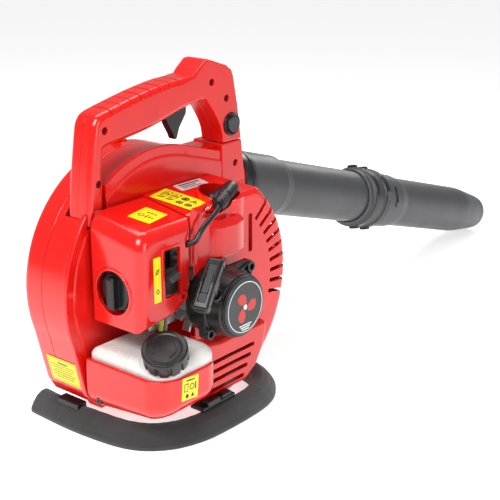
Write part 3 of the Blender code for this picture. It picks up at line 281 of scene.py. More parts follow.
LOOKS = {
    "red_plastic": plastic("red_plastic", (0.74, 0.007, 0.004), 0.20, edge=0.0003, coat=0.3),
    "black_plastic": plastic("black_plastic", (0.007, 0.007, 0.008), 0.30, grain=1500, depth=0.00004),
    "grey_plastic": plastic("grey_plastic", (0.040, 0.041, 0.043), 0.45, grain=1500, depth=0.00005),
    "tube_plastic": plastic("tube_plastic", (0.062, 0.063, 0.067), 0.44, grain=1800, depth=0.00005),
    "foam_rubber": foam("foam_rubber", (0.026, 0.027, 0.029), 1500, 0.00028),
    "rubber": plastic("rubber", (0.008, 0.008, 0.009), 0.36, grain=600, depth=0.00005),
    "tank_plastic": translucent("tank_plastic", (0.88, 0.86, 0.82), 0.32, 0.012, 0.6, clear=0.08),
    "fuel_hose": translucent("fuel_hose", (0.72, 0.74, 0.05), 0.2, 0.004, 0.5, clear=0.15),
    "grey_hose": plastic("grey_hose", (0.30, 0.28, 0.25), 0.5),
    "cast_alloy": metal("cast_alloy", (0.56, 0.56, 0.55), 0.45, cast=True),
    "steel": metal("steel", (0.62, 0.61, 0.60), 0.28, streaks=(1, 12, 1)),
    "filter_foam": foam("filter_foam", (0.09, 0.09, 0.09), 800, 0.0008),
    "ceramic": plastic("ceramic", (0.86, 0.85, 0.82), 0.14),
    "cord": braid("cord", (0.72, 0.70, 0.64)),
    "label_yellow": paper("label_yellow", (0.93, 0.80, 0.012)),
    "label_silver": paper("label_silver", (0.62, 0.62, 0.60), 0.25),
    "ink_black": paper("ink_black", (0.015, 0.014, 0.012), 0.4),
    "ink_white": paper("ink_white", (0.85, 0.85, 0.85)),
    "ink_red": paper("ink_red", (0.62, 0.03, 0.02)),
    "screw_steel": metal("screw_steel", (0.10, 0.10, 0.11), 0.35),
}


# ---- Mesh helpers -----------------------------------------------------------------------------------
def solid(work, name="solid"):
    """A bmesh as an object, welded and with its faces pointing out."""
    bmesh.ops.remove_doubles(work, verts=work.verts, dist=2e-6)
    bare = [edge for edge in work.edges if not edge.link_faces]
    bmesh.ops.delete(work, geom=bare, context="EDGES")
    bmesh.ops.recalc_face_normals(work, faces=work.faces)
    if work.calc_volume(signed=True) < 0:
        bmesh.ops.reverse_faces(work, faces=work.faces)
    return new_object(work, name)


def new_object(work, name="solid"):
    mesh = bpy.data.meshes.new(name)
    work.to_mesh(mesh)
    work.free()
    obj = bpy.data.objects.new(name, mesh)
    bpy.context.scene.collection.objects.link(obj)
    return obj


def skin(rings, loop=False):
    """A closed solid over rings of equally many points. Its ends are filled unless the rings loop."""
    work = bmesh.new()
    rows = [[work.verts.new(point) for point in ring] for ring in rings]
    pairs = list(zip(rows, rows[1:]))
    if loop:
        pairs.append((rows[-1], rows[0]))
    for first, second in pairs:
        for index in range(len(first)):
            following = (index + 1) % len(first)
            work.faces.new((first[index], first[following], second[following], second[index]))
    if not loop:
        fill(work, rows[0])
        fill(work, rows[-1])
    return solid(work)


def fill(work, row):
    """A flat cap over a closed row of points, as an even net of triangles that keeps to its outline."""
    face = work.faces.new(row)
    face.normal_update()
    turn = face.normal.rotation_difference(Z_AXIS)
    flat = [(turn @ vertex.co).to_2d() for vertex in row]
    work.faces.remove(face)
    made = delaunay_2d_cdt(flat, [], [list(range(len(row)))], 1, 1e-7)
    triangles, sources = made[2], made[3]
    for triangle_points in triangles:
        work.faces.new([row[sources[index][0]] for index in triangle_points])


def lathe(profile, base, axis, steps=72, soft=0.0):
    """A solid of revolution from (radius, height) pairs. Corners off the axis are softened."""
    outline = [(*point, 0.0) if point[0] == 0 else point for point in profile]
    outline = rounded(outline, soft, 3)
    turn = Z_AXIS.rotation_difference(Vector(axis).normalized()).to_matrix()
    rings = []
    for step in range(steps):
        angle = 2 * math.pi * step / steps
        out = Vector((math.cos(angle), math.sin(angle), 0))
        rings.append([Vector(base) + turn @ (out * radius + Z_AXIS * height) for radius, height in outline])
    return skin(rings, loop=True)


def rounded(points, radius=0.0, steps=5):
    """A closed outline with soft corners. A point's third value, if any, is its own corner size."""
    outline = []
    for index, point in enumerate(points):
        here = Vector(point[:2])
        before = Vector(points[index - 1][:2])
        after = Vector(points[(index + 1) % len(points)][:2])
        size = point[2] if len(point) > 2 else radius
        back, ahead = (before - here).normalized(), (after - here).normalized()
        half_angle = back.angle(ahead, 0) / 2
        if half_angle <= 0.01 or half_angle > 1.55:
            outline.append(tuple(here))
            continue
        trim = min(size / math.tan(half_angle), 0.46 * (before - here).length, 0.46 * (after - here).length)
        if trim <= 1e-6:
            outline.append(tuple(here))
            continue
        size = trim * math.tan(half_angle)
        centre = here + (back + ahead).normalized() * (size / math.sin(half_angle))
        start, end = here + back * trim - centre, here + ahead * trim - centre
        for step in range(steps + 1):
            outline.append(tuple(centre + start.lerp(end, step / steps).normalized() * size))
    return outline


def smooth_path(points, steps=6):
    """Points along a smooth curve through the given points, in two or three dimensions."""
    knots = [Vector(point) for point in points]
    path = []
    for index in range(len(knots) - 1):
        before = knots[max(index - 1, 0)]
        start, end = knots[index], knots[index + 1]
        after = knots[min(index + 2, len(knots) - 1)]
        for step in range(steps):
            t = step / steps
            path.append(0.5 * (2 * start + (end - before) * t
                               + (2 * before - 5 * start + 4 * end - after) * t ** 2
                               + (3 * start - before - 3 * end + after) * t ** 3))
    path.append(knots[-1])
    return path


def inward_normals(outline):
    """The inward direction at each point of a closed outline, long enough to keep its sides parallel."""
    pairs = list(zip(outline, outline[1:] + outline[:1]))
    area = sum(first[0] * second[1] - second[0] * first[1] for first, second in pairs)
    side = 1 if area < 0 else -1
    normals = []
    for index, point in enumerate(outline):
        here = Vector(point)
        arriving = (here - Vector(outline[index - 1])).normalized()
        leaving = (Vector(outline[(index + 1) % len(outline)]) - here).normalized()
        first = Vector((arriving.y, -arriving.x)) * side
        second = Vector((leaving.y, -leaving.x)) * side
        between = (first + second).normalized()
        normals.append(between / max(between.dot(first), 0.5))
    return normals


def inset(outline, distance):
    normals = inward_normals(outline)
    return [tuple(Vector(point) + normal * distance) for point, normal in zip(outline, normals)]


def slab(outline, near, far, rim=0.0, near_rim=0.0, steps=6):
    """An outline of (x, z) points with thickness from y = near to y = far, and its rims rounded."""
    away = 1 if far > near else -1
    levels = []
    for step in range(steps + 1 if near_rim else 1):
        turn = math.pi / 2 * step / steps
        levels.append((near_rim * (1 - math.sin(turn)), near + away * near_rim * (1 - math.cos(turn))))
    for step in range(steps + 1 if rim else 1):
        turn = math.pi / 2 * step / steps
        levels.append((rim * (1 - math.cos(turn)), far - away * rim * (1 - math.sin(turn))))
    normals = inward_normals(outline)
    rings = []
    for depth, y in levels:
        moved = [Vector(point) + normal * depth for point, normal in zip(outline, normals)]
        rings.append([Vector((point.x, y, point.y)) for point in moved])
    return skin(rings)


def block(low, high, rim=0.0, corner=None):
    """A box along y with rounded long edges and rounded end rims."""
    low, high = Vector(low), Vector(high)
    corner = 1.25 * rim if corner is None else corner
    outline = rounded([(low.x, low.z), (low.x, high.z), (high.x, high.z), (high.x, low.z)], corner)
    return slab(outline, low.y, high.y, rim, rim, 4)


def rod(start, end, radius, end_radius=None, steps=32):
    start, end = Vector(start), Vector(end)
    length = (end - start).length
    profile = [(0, 0), (radius, 0), (radius if end_radius is None else end_radius, length), (0, length)]
    return lathe(profile, start, end - start, steps)


def sweep(path, section, up=Z_AXIS, sizes=None):
    """A section of (across, up) points carried along a path."""
    rings = []
    for index, place in enumerate(path):
        ahead = (path[min(index + 1, len(path) - 1)] - path[max(index - 1, 0)]).normalized()
        across = up.cross(ahead).normalized()
        above = ahead.cross(across)
        size = 1.0 if sizes is None else sizes[index]
        rings.append([place + (across * x + above * z) * size for x, z in section])
    return skin(rings)


def circle(radius, count=16, centre=(0, 0)):
    return [on_circle(centre, radius, 360 * index / count) for index in range(count)]


def on_circle(centre, radius, degrees):
    angle = math.radians(degrees)
    return (centre[0] + radius * math.cos(angle), centre[1] + radius * math.sin(angle))


def arc(centre, radius, start, end, count):
    return [on_circle(centre, radius, start + (end - start) * index / (count - 1)) for index in range(count)]


def settle(obj):
    """Apply an object's modifiers to its mesh."""
    bpy.context.view_layer.update()
    evaluated = obj.evaluated_get(bpy.context.evaluated_depsgraph_get())
    mesh = bpy.data.meshes.new_from_object(evaluated)
    obj.modifiers.clear()
    obj.data = mesh
    return obj


def combine(obj, others, operation):
    for other in others:
        change = obj.modifiers.new(operation.lower(), "BOOLEAN")
        change.operation = operation
        change.solver = "MANIFOLD"
        change.object = other
    settle(obj)
    for other in others:
        bpy.data.objects.remove(other, do_unlink=True)
    return obj


def cut(obj, *others):
    return combine(obj, others, "DIFFERENCE")


def join(obj, *others):
    return combine(obj, others, "UNION")


def group(objects):
    """Separate solids as one object, for a set of like pieces."""
    work = bmesh.new()
    for obj in objects:
        work.from_mesh(obj.data)
        bpy.data.objects.remove(obj, do_unlink=True)
    return new_object(work)


def tilt_top(obj, level):
    """Lower everything above a level more and more away from the casing."""
    for vertex in obj.data.vertices:
        if vertex.co.z > level:
            vertex.co.z += SHELF_TILT * (vertex.co.y - CASING_BACK_Y)
    return obj


def turned_about(obj, place, axis, degrees):
    """Turn a mesh about an axis through a point."""
    turn = Matrix.Rotation(math.radians(degrees), 4, axis)
    obj.data.transform(Matrix.Translation(place) @ turn @ Matrix.Translation(-Vector(place)))
    return obj


def piece(obj, name, look, body="housing", replaces=(), smooth=34):
    """Name a finished shape, give it its finish, move it to the world and let it ride on its body."""
    obj.name = name
    obj.data.name = name
    obj.data.transform(TO_WORLD)
    if not any(obj.data.materials):
        obj.data.materials.clear()
        obj.data.materials.append(LOOKS[look])
    obj.data.shade_smooth()
    obj.data.set_sharp_from_angle(angle=math.radians(smooth))
    flat = obj.modifiers.new("flat_faces", "WEIGHTED_NORMAL")
    flat.weight = 90
    flat.keep_sharp = True
    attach(obj, body)
    if replaces:
        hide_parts(*replaces)
    return obj


def tube_point(along, across=0.0, side=0.0):
    """A point in the tube's own frame: along its axis, up across it and to the side."""
    return CRANK + ALONG_TUBE * along + ACROSS_TUBE * (TUBE_AXIS_R + across) + Y_AXIS * side


# ---- Fan casing -------------------------------------------------------------------------------------
def scroll_arc(start, end, count, depth):
    points = []
    for index in range(count):
        angle = start + (end - start) * index / (count - 1)
        beyond = max(math.radians(angle - SCROLL_FULL_ANGLE), 0.0)
        points.append(on_circle((0, CRANK_Z), SCROLL_TOP_R - SCROLL_GROWTH * beyond - depth, angle))
    return points


def casing_outline(depth=0.0, end=OUTLET_END):
    """The casing's outline: spiral, two feet, and the outlet that leads to the tube."""
    def outlet(across):
        place = CRANK + ACROSS_TUBE * across + ALONG_TUBE * end
        return (place.x, place.z)

    rear_foot = [(-0.112 + depth, 0.046), (-0.104 + depth, 0.032), (-0.095, 0.0262 + depth)]
    front_foot = [(0.092, 0.0262 + depth), (0.101 - depth, 0.032), (0.104 - depth, 0.046)]
    return ([outlet(SCROLL_TOP_R - depth)] + scroll_arc(73.2, 195, 64, depth) + rear_foot
            + scroll_arc(250, 290, 18, depth) + front_foot + scroll_arc(338, 388, 26, depth)
            + [outlet(OUTLET_LOW_R + depth)])


def casing_half(face_y, side):
    """A thin half shell of the casing, with half of the round spigot that holds the tube."""
    shell = slab(casing_outline(), side * SEAM, face_y, 0.0105, 0.0007, 8)
    spigot = rod(tube_point(0.080), tube_point(SPIGOT_END), 0.0385, steps=72)
    far = box((-0.2, -side * 0.1, -0.05), (0.3, side * SEAM, 0.4))
    join(shell, cut(spigot, far))
    hollow = slab(casing_outline(WALL, OUTLET_END - 0.012), -side * 0.02, face_y - side * WALL, 0.0078, steps=4)
    bore = rod(tube_point(0.0870), tube_point(0.17), TUBE_R + 0.0006, steps=72)
    return cut(shell, hollow, bore)


def box(low, high):
    low, high = [min(pair) for pair in zip(low, high)], [max(pair) for pair in zip(low, high)]
    work = bmesh.new()
    bmesh.ops.create_cube(work, size=1.0)
    bmesh.ops.scale(work, vec=Vector(high) - Vector(low), verts=work.verts)
    bmesh.ops.translate(work, vec=(Vector(low) + Vector(high)) / 2, verts=work.verts)
    return solid(work)


def build_casing():
    outer = casing_half(INLET_Y, 1)
    mouth_rim = lathe([(0.064, 0.0035), (0.064, -0.002), (0.050, -0.002), (0.050, 0.0035)],
                      (0, INLET_Y, CRANK_Z), Y_AXIS, 96, 0.0008)
    ribs = []
    for angle in range(35, 360, 40):
        if 60 < angle < 110:
            continue
        rib = block((0.0655, INLET_Y - 0.001, -0.0012), (0.112, INLET_Y + 0.0014, 0.0012), 0.0006)
        rib.data.transform(Matrix.Translation(CRANK) @ Matrix.Rotation(-math.radians(angle), 4, "Y"))
        ribs.append(rib)
    join(outer, mouth_rim, group(ribs))
    cut(outer, rod((0, 0.02, CRANK_Z), (0, 0.05, CRANK_Z), 0.058, steps=96))
    piece(outer, "volute_outer_shell", "red_plastic", replaces=["volute_outer_half"])

    inner = casing_half(CASING_BACK_Y + 0.0005, -1)
    rim = slab(casing_outline(-0.0035, OUTLET_END - 0.006), -0.034, -0.0405, 0.0012, 0.0012, 3)
    pillar = slab(rounded([(0.0990, 0.2240), (0.0990, 0.2718), (0.1325, 0.2718), (0.1385, 0.2240)], 0.0018, 3),
                  0.001, CASING_BACK_Y - 0.0005, 0.0012, 0.0012, 3)
    foot = block((0.0620, -0.0300, 0.2550), (0.1010, 0.0010, 0.2700), 0.003)
    join(inner, rim, pillar, foot)
    handle_seat = box((-0.1036, -0.05, 0.2225), (-0.0765, -0.0085, 0.30))
    pillar_screw = rod((0.1214, -0.05, 0.2463), (0.1214, -0.0385, 0.2463), 0.0040)
    crank_hole = rod((0, -0.05, CRANK_Z), (0, -0.03, CRANK_Z), 0.022)
    cut(inner, handle_seat, pillar_screw, crank_hole)
    piece(inner, "volute_inner_shell", "red_plastic", replaces=["volute_inner_half"])

    pocket = slab(rounded([(-0.0115, 0.2785), (-0.0115, 0.2855), (0.0115, 0.2855), (0.0115, 0.2785)], 0.002),
                  0.016, 0.030, 0.001, 0.001, 3)
    eye = lathe([(0.0060, 0.003), (0.0060, -0.003), (0.0034, -0.003), (0.0034, 0.003)],
                (0, 0.023, 0.2885), X_AXIS, 40, 0.0006)
    piece(join(pocket, eye), "cable_eyelet", "red_plastic")


def build_inlet_guard():
    """The slotted dome over the air inlet."""
    guard = lathe([(0, 0.0075), (0.052, 0.0075), (0.064, 0.003), (0.066, 0), (0.066, -0.006), (0.0645, -0.006),
                   (0.0645, 0), (0.052, 0.0045), (0, 0.0045)], (0, 0.0405, CRANK_Z), Y_AXIS, 96, 0.0015)
    slots = []
    for row in range(-4, 5):
        height = row * 0.0118
        reach = math.sqrt(0.056 ** 2 - height ** 2)
        for side in (-1, 1):
            slots.append(block((side * 0.0018 if side > 0 else -reach, 0.03, CRANK_Z + height - 0.0036),
                               (reach if side > 0 else -0.0018, 0.06, CRANK_Z + height + 0.0036), 0, 0.003))
    cut(guard, group(slots))
    hub = lathe([(0, 0.0045), (0.013, 0.0035), (0.015, 0), (0, 0)], (0, 0.0455, CRANK_Z), Y_AXIS, 64, 0.0008)
    hinge_ear = block((-0.0765, 0.0335, CRANK_Z - 0.012), (-0.0625, 0.040, CRANK_Z + 0.012), 0.0012)
    lock_ear = block((0.060, 0.0365, CRANK_Z - 0.007), (0.0775, 0.041, CRANK_Z + 0.007), 0.0012)
    join(guard, hub, hinge_ear, lock_ear)
    cut(guard, rod((-0.0725, 0.0366, CRANK_Z - 0.02), (-0.0725, 0.0366, CRANK_Z + 0.02), 0.0019),
        rod((0.072, 0.03, CRANK_Z), (0.072, 0.05, CRANK_Z), 0.0028))
    piece(guard, "inlet_guard_grille", "black_plastic", "guard", ["inlet_guard"])
    piece(screw_head((0.072, 0.0412, CRANK_Z), Y_AXIS, 0.0042), "guard_screw", "screw_steel", "guard")


def screw_head(place, axis, radius=0.0034):
    """A pan-head screw with a cross recess."""
    place, axis = Vector(place), Vector(axis)
    head = lathe([(0, 0.0016), (radius * 0.8, 0.0013), (radius, 0.0004), (radius, -0.001), (0, -0.001)],
                 place, axis, 32, 0.0003)
    turn = Z_AXIS.rotation_difference(axis).to_matrix().to_4x4()
    cross = join(box((-radius * 0.6, -0.0004, 0.0006), (radius * 0.6, 0.0004, 0.003)),
                 box((-0.0004, -radius * 0.6, 0.0006), (0.0004, radius * 0.6, 0.003)))
    cross.data.transform(Matrix.Translation(place) @ turn)
    return cut(head, cross)


# ---- Engine covers ----------------------------------------------------------------------------------
def drum_outline(depth=0.0):
    """The engine cover's outline: a flat shelf, the drum's arc and a straight edge at the back."""
    centre = (COVER_CENTRE_X, CRANK_Z)
    radius = COVER_R - depth
    top = SHELF_Z - depth
    high = math.degrees(math.asin((top - CRANK_Z) / radius))
    left = -0.026
    return [(left, top)] + arc(centre, radius, high, -97, 36) + [(left, 0.045 + depth)]


TRAY = [(-0.0262, 0.0935), (0.0042, 0.0885), (0.0850, 0.0890), (0.0765, 0.0585), (0.0642, 0.0400),
        (0.0464, 0.0280), (-0.0262, 0.0280)]
TRAY_FACE_Y = -0.121


def build_engine_cover():
    cover = tilt_top(slab(drum_outline(), CASING_BACK_Y - 0.0005, COVER_FACE_Y, 0.011, steps=8), SHELF_Z - 0.002)
    hollow = tilt_top(slab(drum_outline(WALL), CASING_BACK_Y + 0.02, COVER_FACE_Y + WALL, 0.0082, steps=5),
                      SHELF_Z - WALL - 0.002)
    for vertex in hollow.data.vertices:
        if vertex.co.x < -0.0250:
            vertex.co.x -= 0.01
    cut(cover, hollow)

    tray = slab(rounded(TRAY, 0.0065, 4), COVER_FACE_Y + 0.0045, TRAY_FACE_Y, 0.0045, 0, 5)
    tower = tower_column()
    bosses = [rod((0.0560, -0.106, 0.1120), (0.0560, -0.1128, 0.1120), 0.0062, 0.0056),
              rod((0.0350, -0.106, 0.0800), (0.0350, -0.1130, 0.0800), 0.0050, 0.0046)]
    well_wall = rod((WELL.x, WELL.y, 0.1900), (WELL.x, WELL.y, 0.2338), 0.0262, steps=72)
    well_lip = lathe([(0.0264, 0.0045), (0.0268, -0.006), (0.0215, -0.006), (0.0225, 0.0045)],
                     (WELL.x, WELL.y, 0.2340), (0.05, -SHELF_TILT, 1), 72, 0.0012)
    plug_tub = tilt_top(box((0.0190, -0.1085, 0.2165), (0.0700, -0.058, SHELF_Z - 0.001)), 0.230)
    join(cover, tray, tower, plug_tub, well_wall, well_lip, *bosses)

    tray_hollow = slab(inset(TRAY, 0.003), COVER_FACE_Y + 0.015, TRAY_FACE_Y + 0.0025)
    mouth = rod((WELL.x + 0.003, WELL.y + 0.010, 0.1950), (WELL.x, WELL.y - 0.003, 0.26), 0.0212, 0.0228, 72)
    lead_gap = sweep([CAP_ELBOW, CAP_TAIL, CAP_TAIL + Vector((-0.02, -0.006, -0.004))], circle(0.0098, 24))
    flywheel_room = rod((0, -0.1073, CRANK_Z), (0, -0.0950, CRANK_Z), 0.0450, steps=72)
    cut(cover, tray_hollow, mouth, lead_gap, flywheel_room,
        rod(PLUG_SEAT, PLUG_SEAT + PLUG_AXIS * 0.05, 0.0150),
        rod((0, -0.13, CRANK_Z), (0, -0.10, CRANK_Z), 0.0345, steps=72))
    cut(cover, *cover_slots())
    piece(cover, "engine_cover_shell", "red_plastic", replaces=["engine_cover"], smooth=24)


def tower_column():
    """The faceted column below the plug's well."""
    footprint = [(-0.0010, -0.1085), (0.0100, -0.1190), (0.0300, -0.1215), (0.0465, -0.1170), (0.0570, -0.1085),
                 (0.0570, -0.1000), (-0.0010, -0.1000)]
    rings = []
    for z, shrink in ((0.1790, 0.0020), (0.1815, 0.0), (0.2120, 0.0), (0.2200, 0.0040)):
        moved = inset(footprint, shrink)
        rings.append([Vector((x, y, z)) for x, y in moved])
    return skin(rings)


def cover_slots():
    """Cutters for the grille round the front edge, the louvres in the tray and the tall slot."""
    cutters = [block((0.0630, -0.125, 0.1700), (0.0695, -0.100, 0.2130), 0, 0.002)]
    for index in range(9):
        slot = block((0.0960, -0.120, -0.0023), (0.1320, -0.0915, 0.0023), 0, 0.0012)
        slot.data.transform(Matrix.Translation((COVER_CENTRE_X, 0, CRANK_Z))
                            @ Matrix.Rotation(-math.radians(-14 + index * 7.1), 4, "Y"))
        cutters.append(slot)
    for index in range(4):
        low = 0.0340 + index * 0.0105
        cutters.append(block((-0.0180, -0.13, low), (0.0420 + index * 0.006, -0.116, low + 0.0045), 0, 0.0015))
    return [group(cutters)]


def air_box_outline(depth=0.0, spill=0.0):
    """The air box cover's outline; spill pushes its open right and lower sides out, for the hollow."""
    slope = [(-0.105 + depth, 0.1290 - spill), (-0.060, 0.1330 - spill), (-0.0390 + spill, 0.1430 - spill),
             (-0.0300 + spill, 0.1610)]
    top = [(-0.0300 + spill, SHELF_Z - depth), (-0.085, SHELF_Z - depth)]
    corner = arc((-0.087, SHELF_Z - 0.018), 0.018 - depth, 88, 180, 12)
    return slope + top + corner


def build_air_box():
    cover = slab(air_box_outline(), CASING_BACK_Y - 0.005, AIR_BOX_FACE_Y, 0.0115, steps=8)
    tilt_top(cover, SHELF_Z - 0.019)
    hollow = slab(air_box_outline(WALL, 0.02), CASING_BACK_Y + 0.01, AIR_BOX_FACE_Y + WALL, 0.0090, steps=5)
    tilt_top(hollow, SHELF_Z - 0.019)
    lip = lathe([(0.0262, 0.0010), (0.0262, -0.004), (0.0225, -0.004), (0.0225, 0.0010)],
                (-0.1052, KNOB.y, KNOB.z), -X_AXIS, 72, 0.0009)
    choke_frame = cut(block((-0.0765, -0.1166, 0.1560), (-0.0480, -0.1110, 0.2120), 0.0007, 0.003),
                      block((-0.0735, -0.13, 0.1590), (-0.0510, -0.105, 0.2090), 0, 0.0022))
    boss = rod((-0.0470, -0.111, 0.1545), (-0.0470, -0.1168, 0.1545), 0.0062, 0.0056)
    join(cover, lip, choke_frame, boss)
    cut(cover, hollow, rod((-0.12, KNOB.y, KNOB.z), (-0.09, KNOB.y, KNOB.z), 0.0228, steps=72),
        block((-0.0735, -0.13, 0.159), (-0.0510, -0.105, 0.209), 0, 0.0022),
        rod((-0.0470, -0.13, 0.1545), (-0.0470, -0.105, 0.1545), 0.0033),
        block((-0.0425, -0.13, 0.2035), (-0.0250, -0.109, 0.2110), 0, 0.003))
    piece(cover, "air_box_cover_shell", "red_plastic", replaces=["air_box_cover"])

    knob = lathe([(0, 0.0020), (0.0182, 0.0020), (0.0192, 0.0005), (0.0192, -0.0020), (0, -0.0020)],
                 KNOB - X_AXIS * 0.0010, -X_AXIS, 72, 0.0008)
    bar = block((KNOB.x - 0.0116, KNOB.y - 0.0052, KNOB.z - 0.0170),
                (KNOB.x - 0.0010, KNOB.y + 0.0052, KNOB.z + 0.0170), 0.0022)
    stud = rod(KNOB - X_AXIS * 0.0001, KNOB + X_AXIS * 0.0192, 0.0030)
    piece(join(knob, bar, stud), "filter_knob_grip", "black_plastic", "filter_knob", ["air_filter_knob"])

    lever = block((-0.0660, -0.1112, 0.1795), (-0.0415, -0.1092, 0.1865), 0.0006)
    tab = turned_about(block((-0.0700, -0.1225, 0.1765), (-0.0560, -0.1095, 0.1830), 0.0014),
                       (-0.063, -0.115, 0.18), Y_AXIS, -18)
    ridges = [block((-0.0695 + index * 0.0026, -0.1229, 0.1775), (-0.0683 + index * 0.0026, -0.1215, 0.1820), 0.0003)
              for index in range(5)]
    for ridge in ridges:
        turned_about(ridge, (-0.063, -0.115, 0.18), Y_AXIS, -18)
    pin = rod((-0.0440, -0.1120, 0.184), (-0.0440, -0.1085, 0.184), 0.0026)
    piece(join(lever, tab, group(ridges), pin), "choke_lever_tab", "grey_plastic", "choke", ["choke_lever"])


# ---- Spark plug cap and lead ------------------------------------------------------------------------
def build_plug_cap():
    tail = (CAP_TAIL - CAP_ELBOW).normalized()
    boot = lathe([(0, 0), (0.0096, 0), (0.0100, 0.003), (0.0088, 0.006), (0.0088, 0.024), (0.0070, 0.0315),
                  (0, 0.0335)], PLUG_SEAT + PLUG_AXIS * 0.0240, PLUG_AXIS, 48, 0.0012)
    collar = [(0, 0)]
    for index in range(4):
        low = 0.024 + index * 0.0046
        collar += [(0.0068, low), (0.0076, low + 0.0008), (0.0076, low + 0.0026), (0.0066, low + 0.0034)]
    body = lathe([(0, -0.009), (0.0060, -0.0078), (0.0086, -0.003), (0.0088, 0.004), (0.0080, 0.020),
                  (0.0068, 0.024)] + collar[1:] + [(0.0052, 0.0440), (0, 0.0440)], CAP_ELBOW, tail, 48, 0.0005)
    join(boot, body)
    cut(boot, rod(PLUG_SEAT + PLUG_AXIS * 0.020, PLUG_SEAT + PLUG_AXIS * 0.0405, 0.0052))
    piece(boot, "spark_plug_boot", "rubber", replaces=["spark_plug_cap"])

    start = CAP_ELBOW + tail * 0.0435
    way = smooth_path([start, start + tail * 0.010 + Vector((-0.001, -0.0015, -0.002)),
                       (-0.0215, -0.1215, 0.2215), (-0.0330, -0.1210, 0.2105), (-0.0375, -0.1150, 0.2070)], 8)
    lead = sweep(way, circle(0.0029, 20), Y_AXIS)
    piece(lead, "ignition_lead_cord", "rubber", replaces=["ignition_lead"])


# ---- Fuel system ------------------------------------------------------------------------------------
CRADLE_TOP = 0.0905
FRONT_RISE = 0.016              # how far the cradle's lower front edge is raised
FRONT_RISE_START_Y = -0.100


def upright(outline, low, high, rim_low, rim_high, steps=6):
    """A solid that stands on an outline of (x, y) points, with its lower and upper rims rounded."""
    made = slab([(x, y) for x, y in outline], low, high, rim_high, rim_low, steps)
    for vertex in made.data.vertices:
        vertex.co = Vector((vertex.co.x, vertex.co.z, vertex.co.y))
    made.data.flip_normals()
    return made


def lift_front(obj):
    """Raise a solid's lower front edge, so that the tank and its cradle slope up towards -y."""
    for vertex in obj.data.vertices:
        forward = min(max((FRONT_RISE_START_Y - vertex.co.y) / 0.05, 0.0), 1.0)
        low = min(max((CRADLE_TOP - vertex.co.z) / (CRADLE_TOP - CRADLE_LOW.z), 0.0), 1.0)
        vertex.co.z += FRONT_RISE * forward * low
    return obj


def build_fuel_tank():
    right, back, top = -0.0290, -0.0485, 0.1040
    outline = rounded([(TANK_LOW.x, TANK_LOW.y), (TANK_LOW.x, back, 0), (right, back, 0), (right, TANK_LOW.y)],
                      0.0225, 10)
    tank = lift_front(upright(outline, 0.0385, top, 0.018, 0.010, 8))
    cut(tank, rod(FILLER - FILLER_AXIS * 0.0002, FILLER + FILLER_AXIS * 0.05, 0.0262, steps=72))
    neck = lathe([(0, -0.010), (0.0185, -0.010), (0.0175, 0.001), (0.0165, 0.002), (0.0165, 0.010), (0, 0.010)],
                 FILLER, FILLER_AXIS, 64, 0.0008)
    grommet_hole = rod((-0.0560, -0.0950, 0.08), (-0.0560, -0.0950, 0.12), 0.0060)
    hollow = lift_front(upright(rounded([(-0.1085, -0.1435), (-0.1085, -0.0525), (-0.0335, -0.0525),
                                         (-0.0335, -0.1435)], 0.020), 0.0420, 0.0850, 0.016, 0.006, 4))
    join(tank, neck)
    cut(tank, hollow, grommet_hole, rod(FILLER - FILLER_AXIS * 0.035, FILLER + FILLER_AXIS * 0.02, 0.0135))
    piece(tank, "fuel_tank_shell", "tank_plastic", replaces=["fuel_tank"])

    cap = lobed_cap()
    piece(cap, "fuel_cap_grip", "black_plastic", "tank_cap", ["fuel_cap"])


def lobed_cap():
    """The screw cap: a dished top disc over broad grip lobes."""
    turn = Z_AXIS.rotation_difference(FILLER_AXIS).to_matrix()
    lobes = 11
    steps = lobes * 14
    levels = [(0.0172, 0.0008, 0.0), (0.0225, 0.0008, 0.8), (0.0229, 0.0020, 1.0), (0.0227, 0.0125, 1.0),
              (0.0226, 0.0132, 0.0), (0.0232, 0.0142, 0.0), (0.0230, 0.0172, 0.0), (0.0218, 0.0186, 0.0),
              (0.0180, 0.0189, 0.0), (0.0165, 0.0180, 0.0), (0.0020, 0.0184, 0.0), (0.0, 0.0184, 0.0),
              (0.0, 0.0150, 0.0), (0.0172, 0.0150, 0.0)]
    rings = []
    for step in range(steps):
        angle = 2 * math.pi * step / steps
        share = (step % 14) / 14
        notch = 0.0018 if share < 0.22 else 0.0
        out = Vector((math.cos(angle), math.sin(angle), 0))
        rings.append([FILLER + turn @ (out * max(radius - notch * weight, 0) + Z_AXIS * height)
                      for radius, height, weight in levels])
    cap = skin(rings, loop=True)
    marks = []
    for start in (20, 200):
        points = arc((0, 0), 0.0125, start, start + 95, 12) + arc((0, 0), 0.0108, start + 95, start, 12)
        mark = slab(points, 0.0175, 0.0190)
        mark.data.transform(Matrix.Rotation(math.radians(90), 4, "X"))
        mark.data.transform(Matrix.Translation(FILLER) @ turn.to_4x4())
        marks.append(mark)
    join(cap, *marks)
    return cap


def build_fuel_lines():
    fuel_way = smooth_path([(-0.0590, -0.0950, 0.0500), (-0.0590, -0.0950, 0.1100), (-0.0600, -0.0960, 0.1300),
                            (-0.0640, -0.0945, 0.1520), (-0.0650, -0.0925, 0.1660), (-0.0655, -0.0925, 0.1800)], 8)
    piece(sweep(fuel_way, circle(0.0024, 20), Y_AXIS), "fuel_line_hose", "fuel_hose", replaces=["fuel_line"])
    return_way = smooth_path([(-0.0530, -0.0950, 0.0960), (-0.0530, -0.0950, 0.1100), (-0.0515, -0.0950, 0.1300),
                              (-0.0525, -0.0935, 0.1520), (-0.0530, -0.0925, 0.1690)], 8)
    piece(sweep(return_way, circle(0.0020, 20), Y_AXIS), "return_line_hose", "grey_hose", replaces=["return_line"])


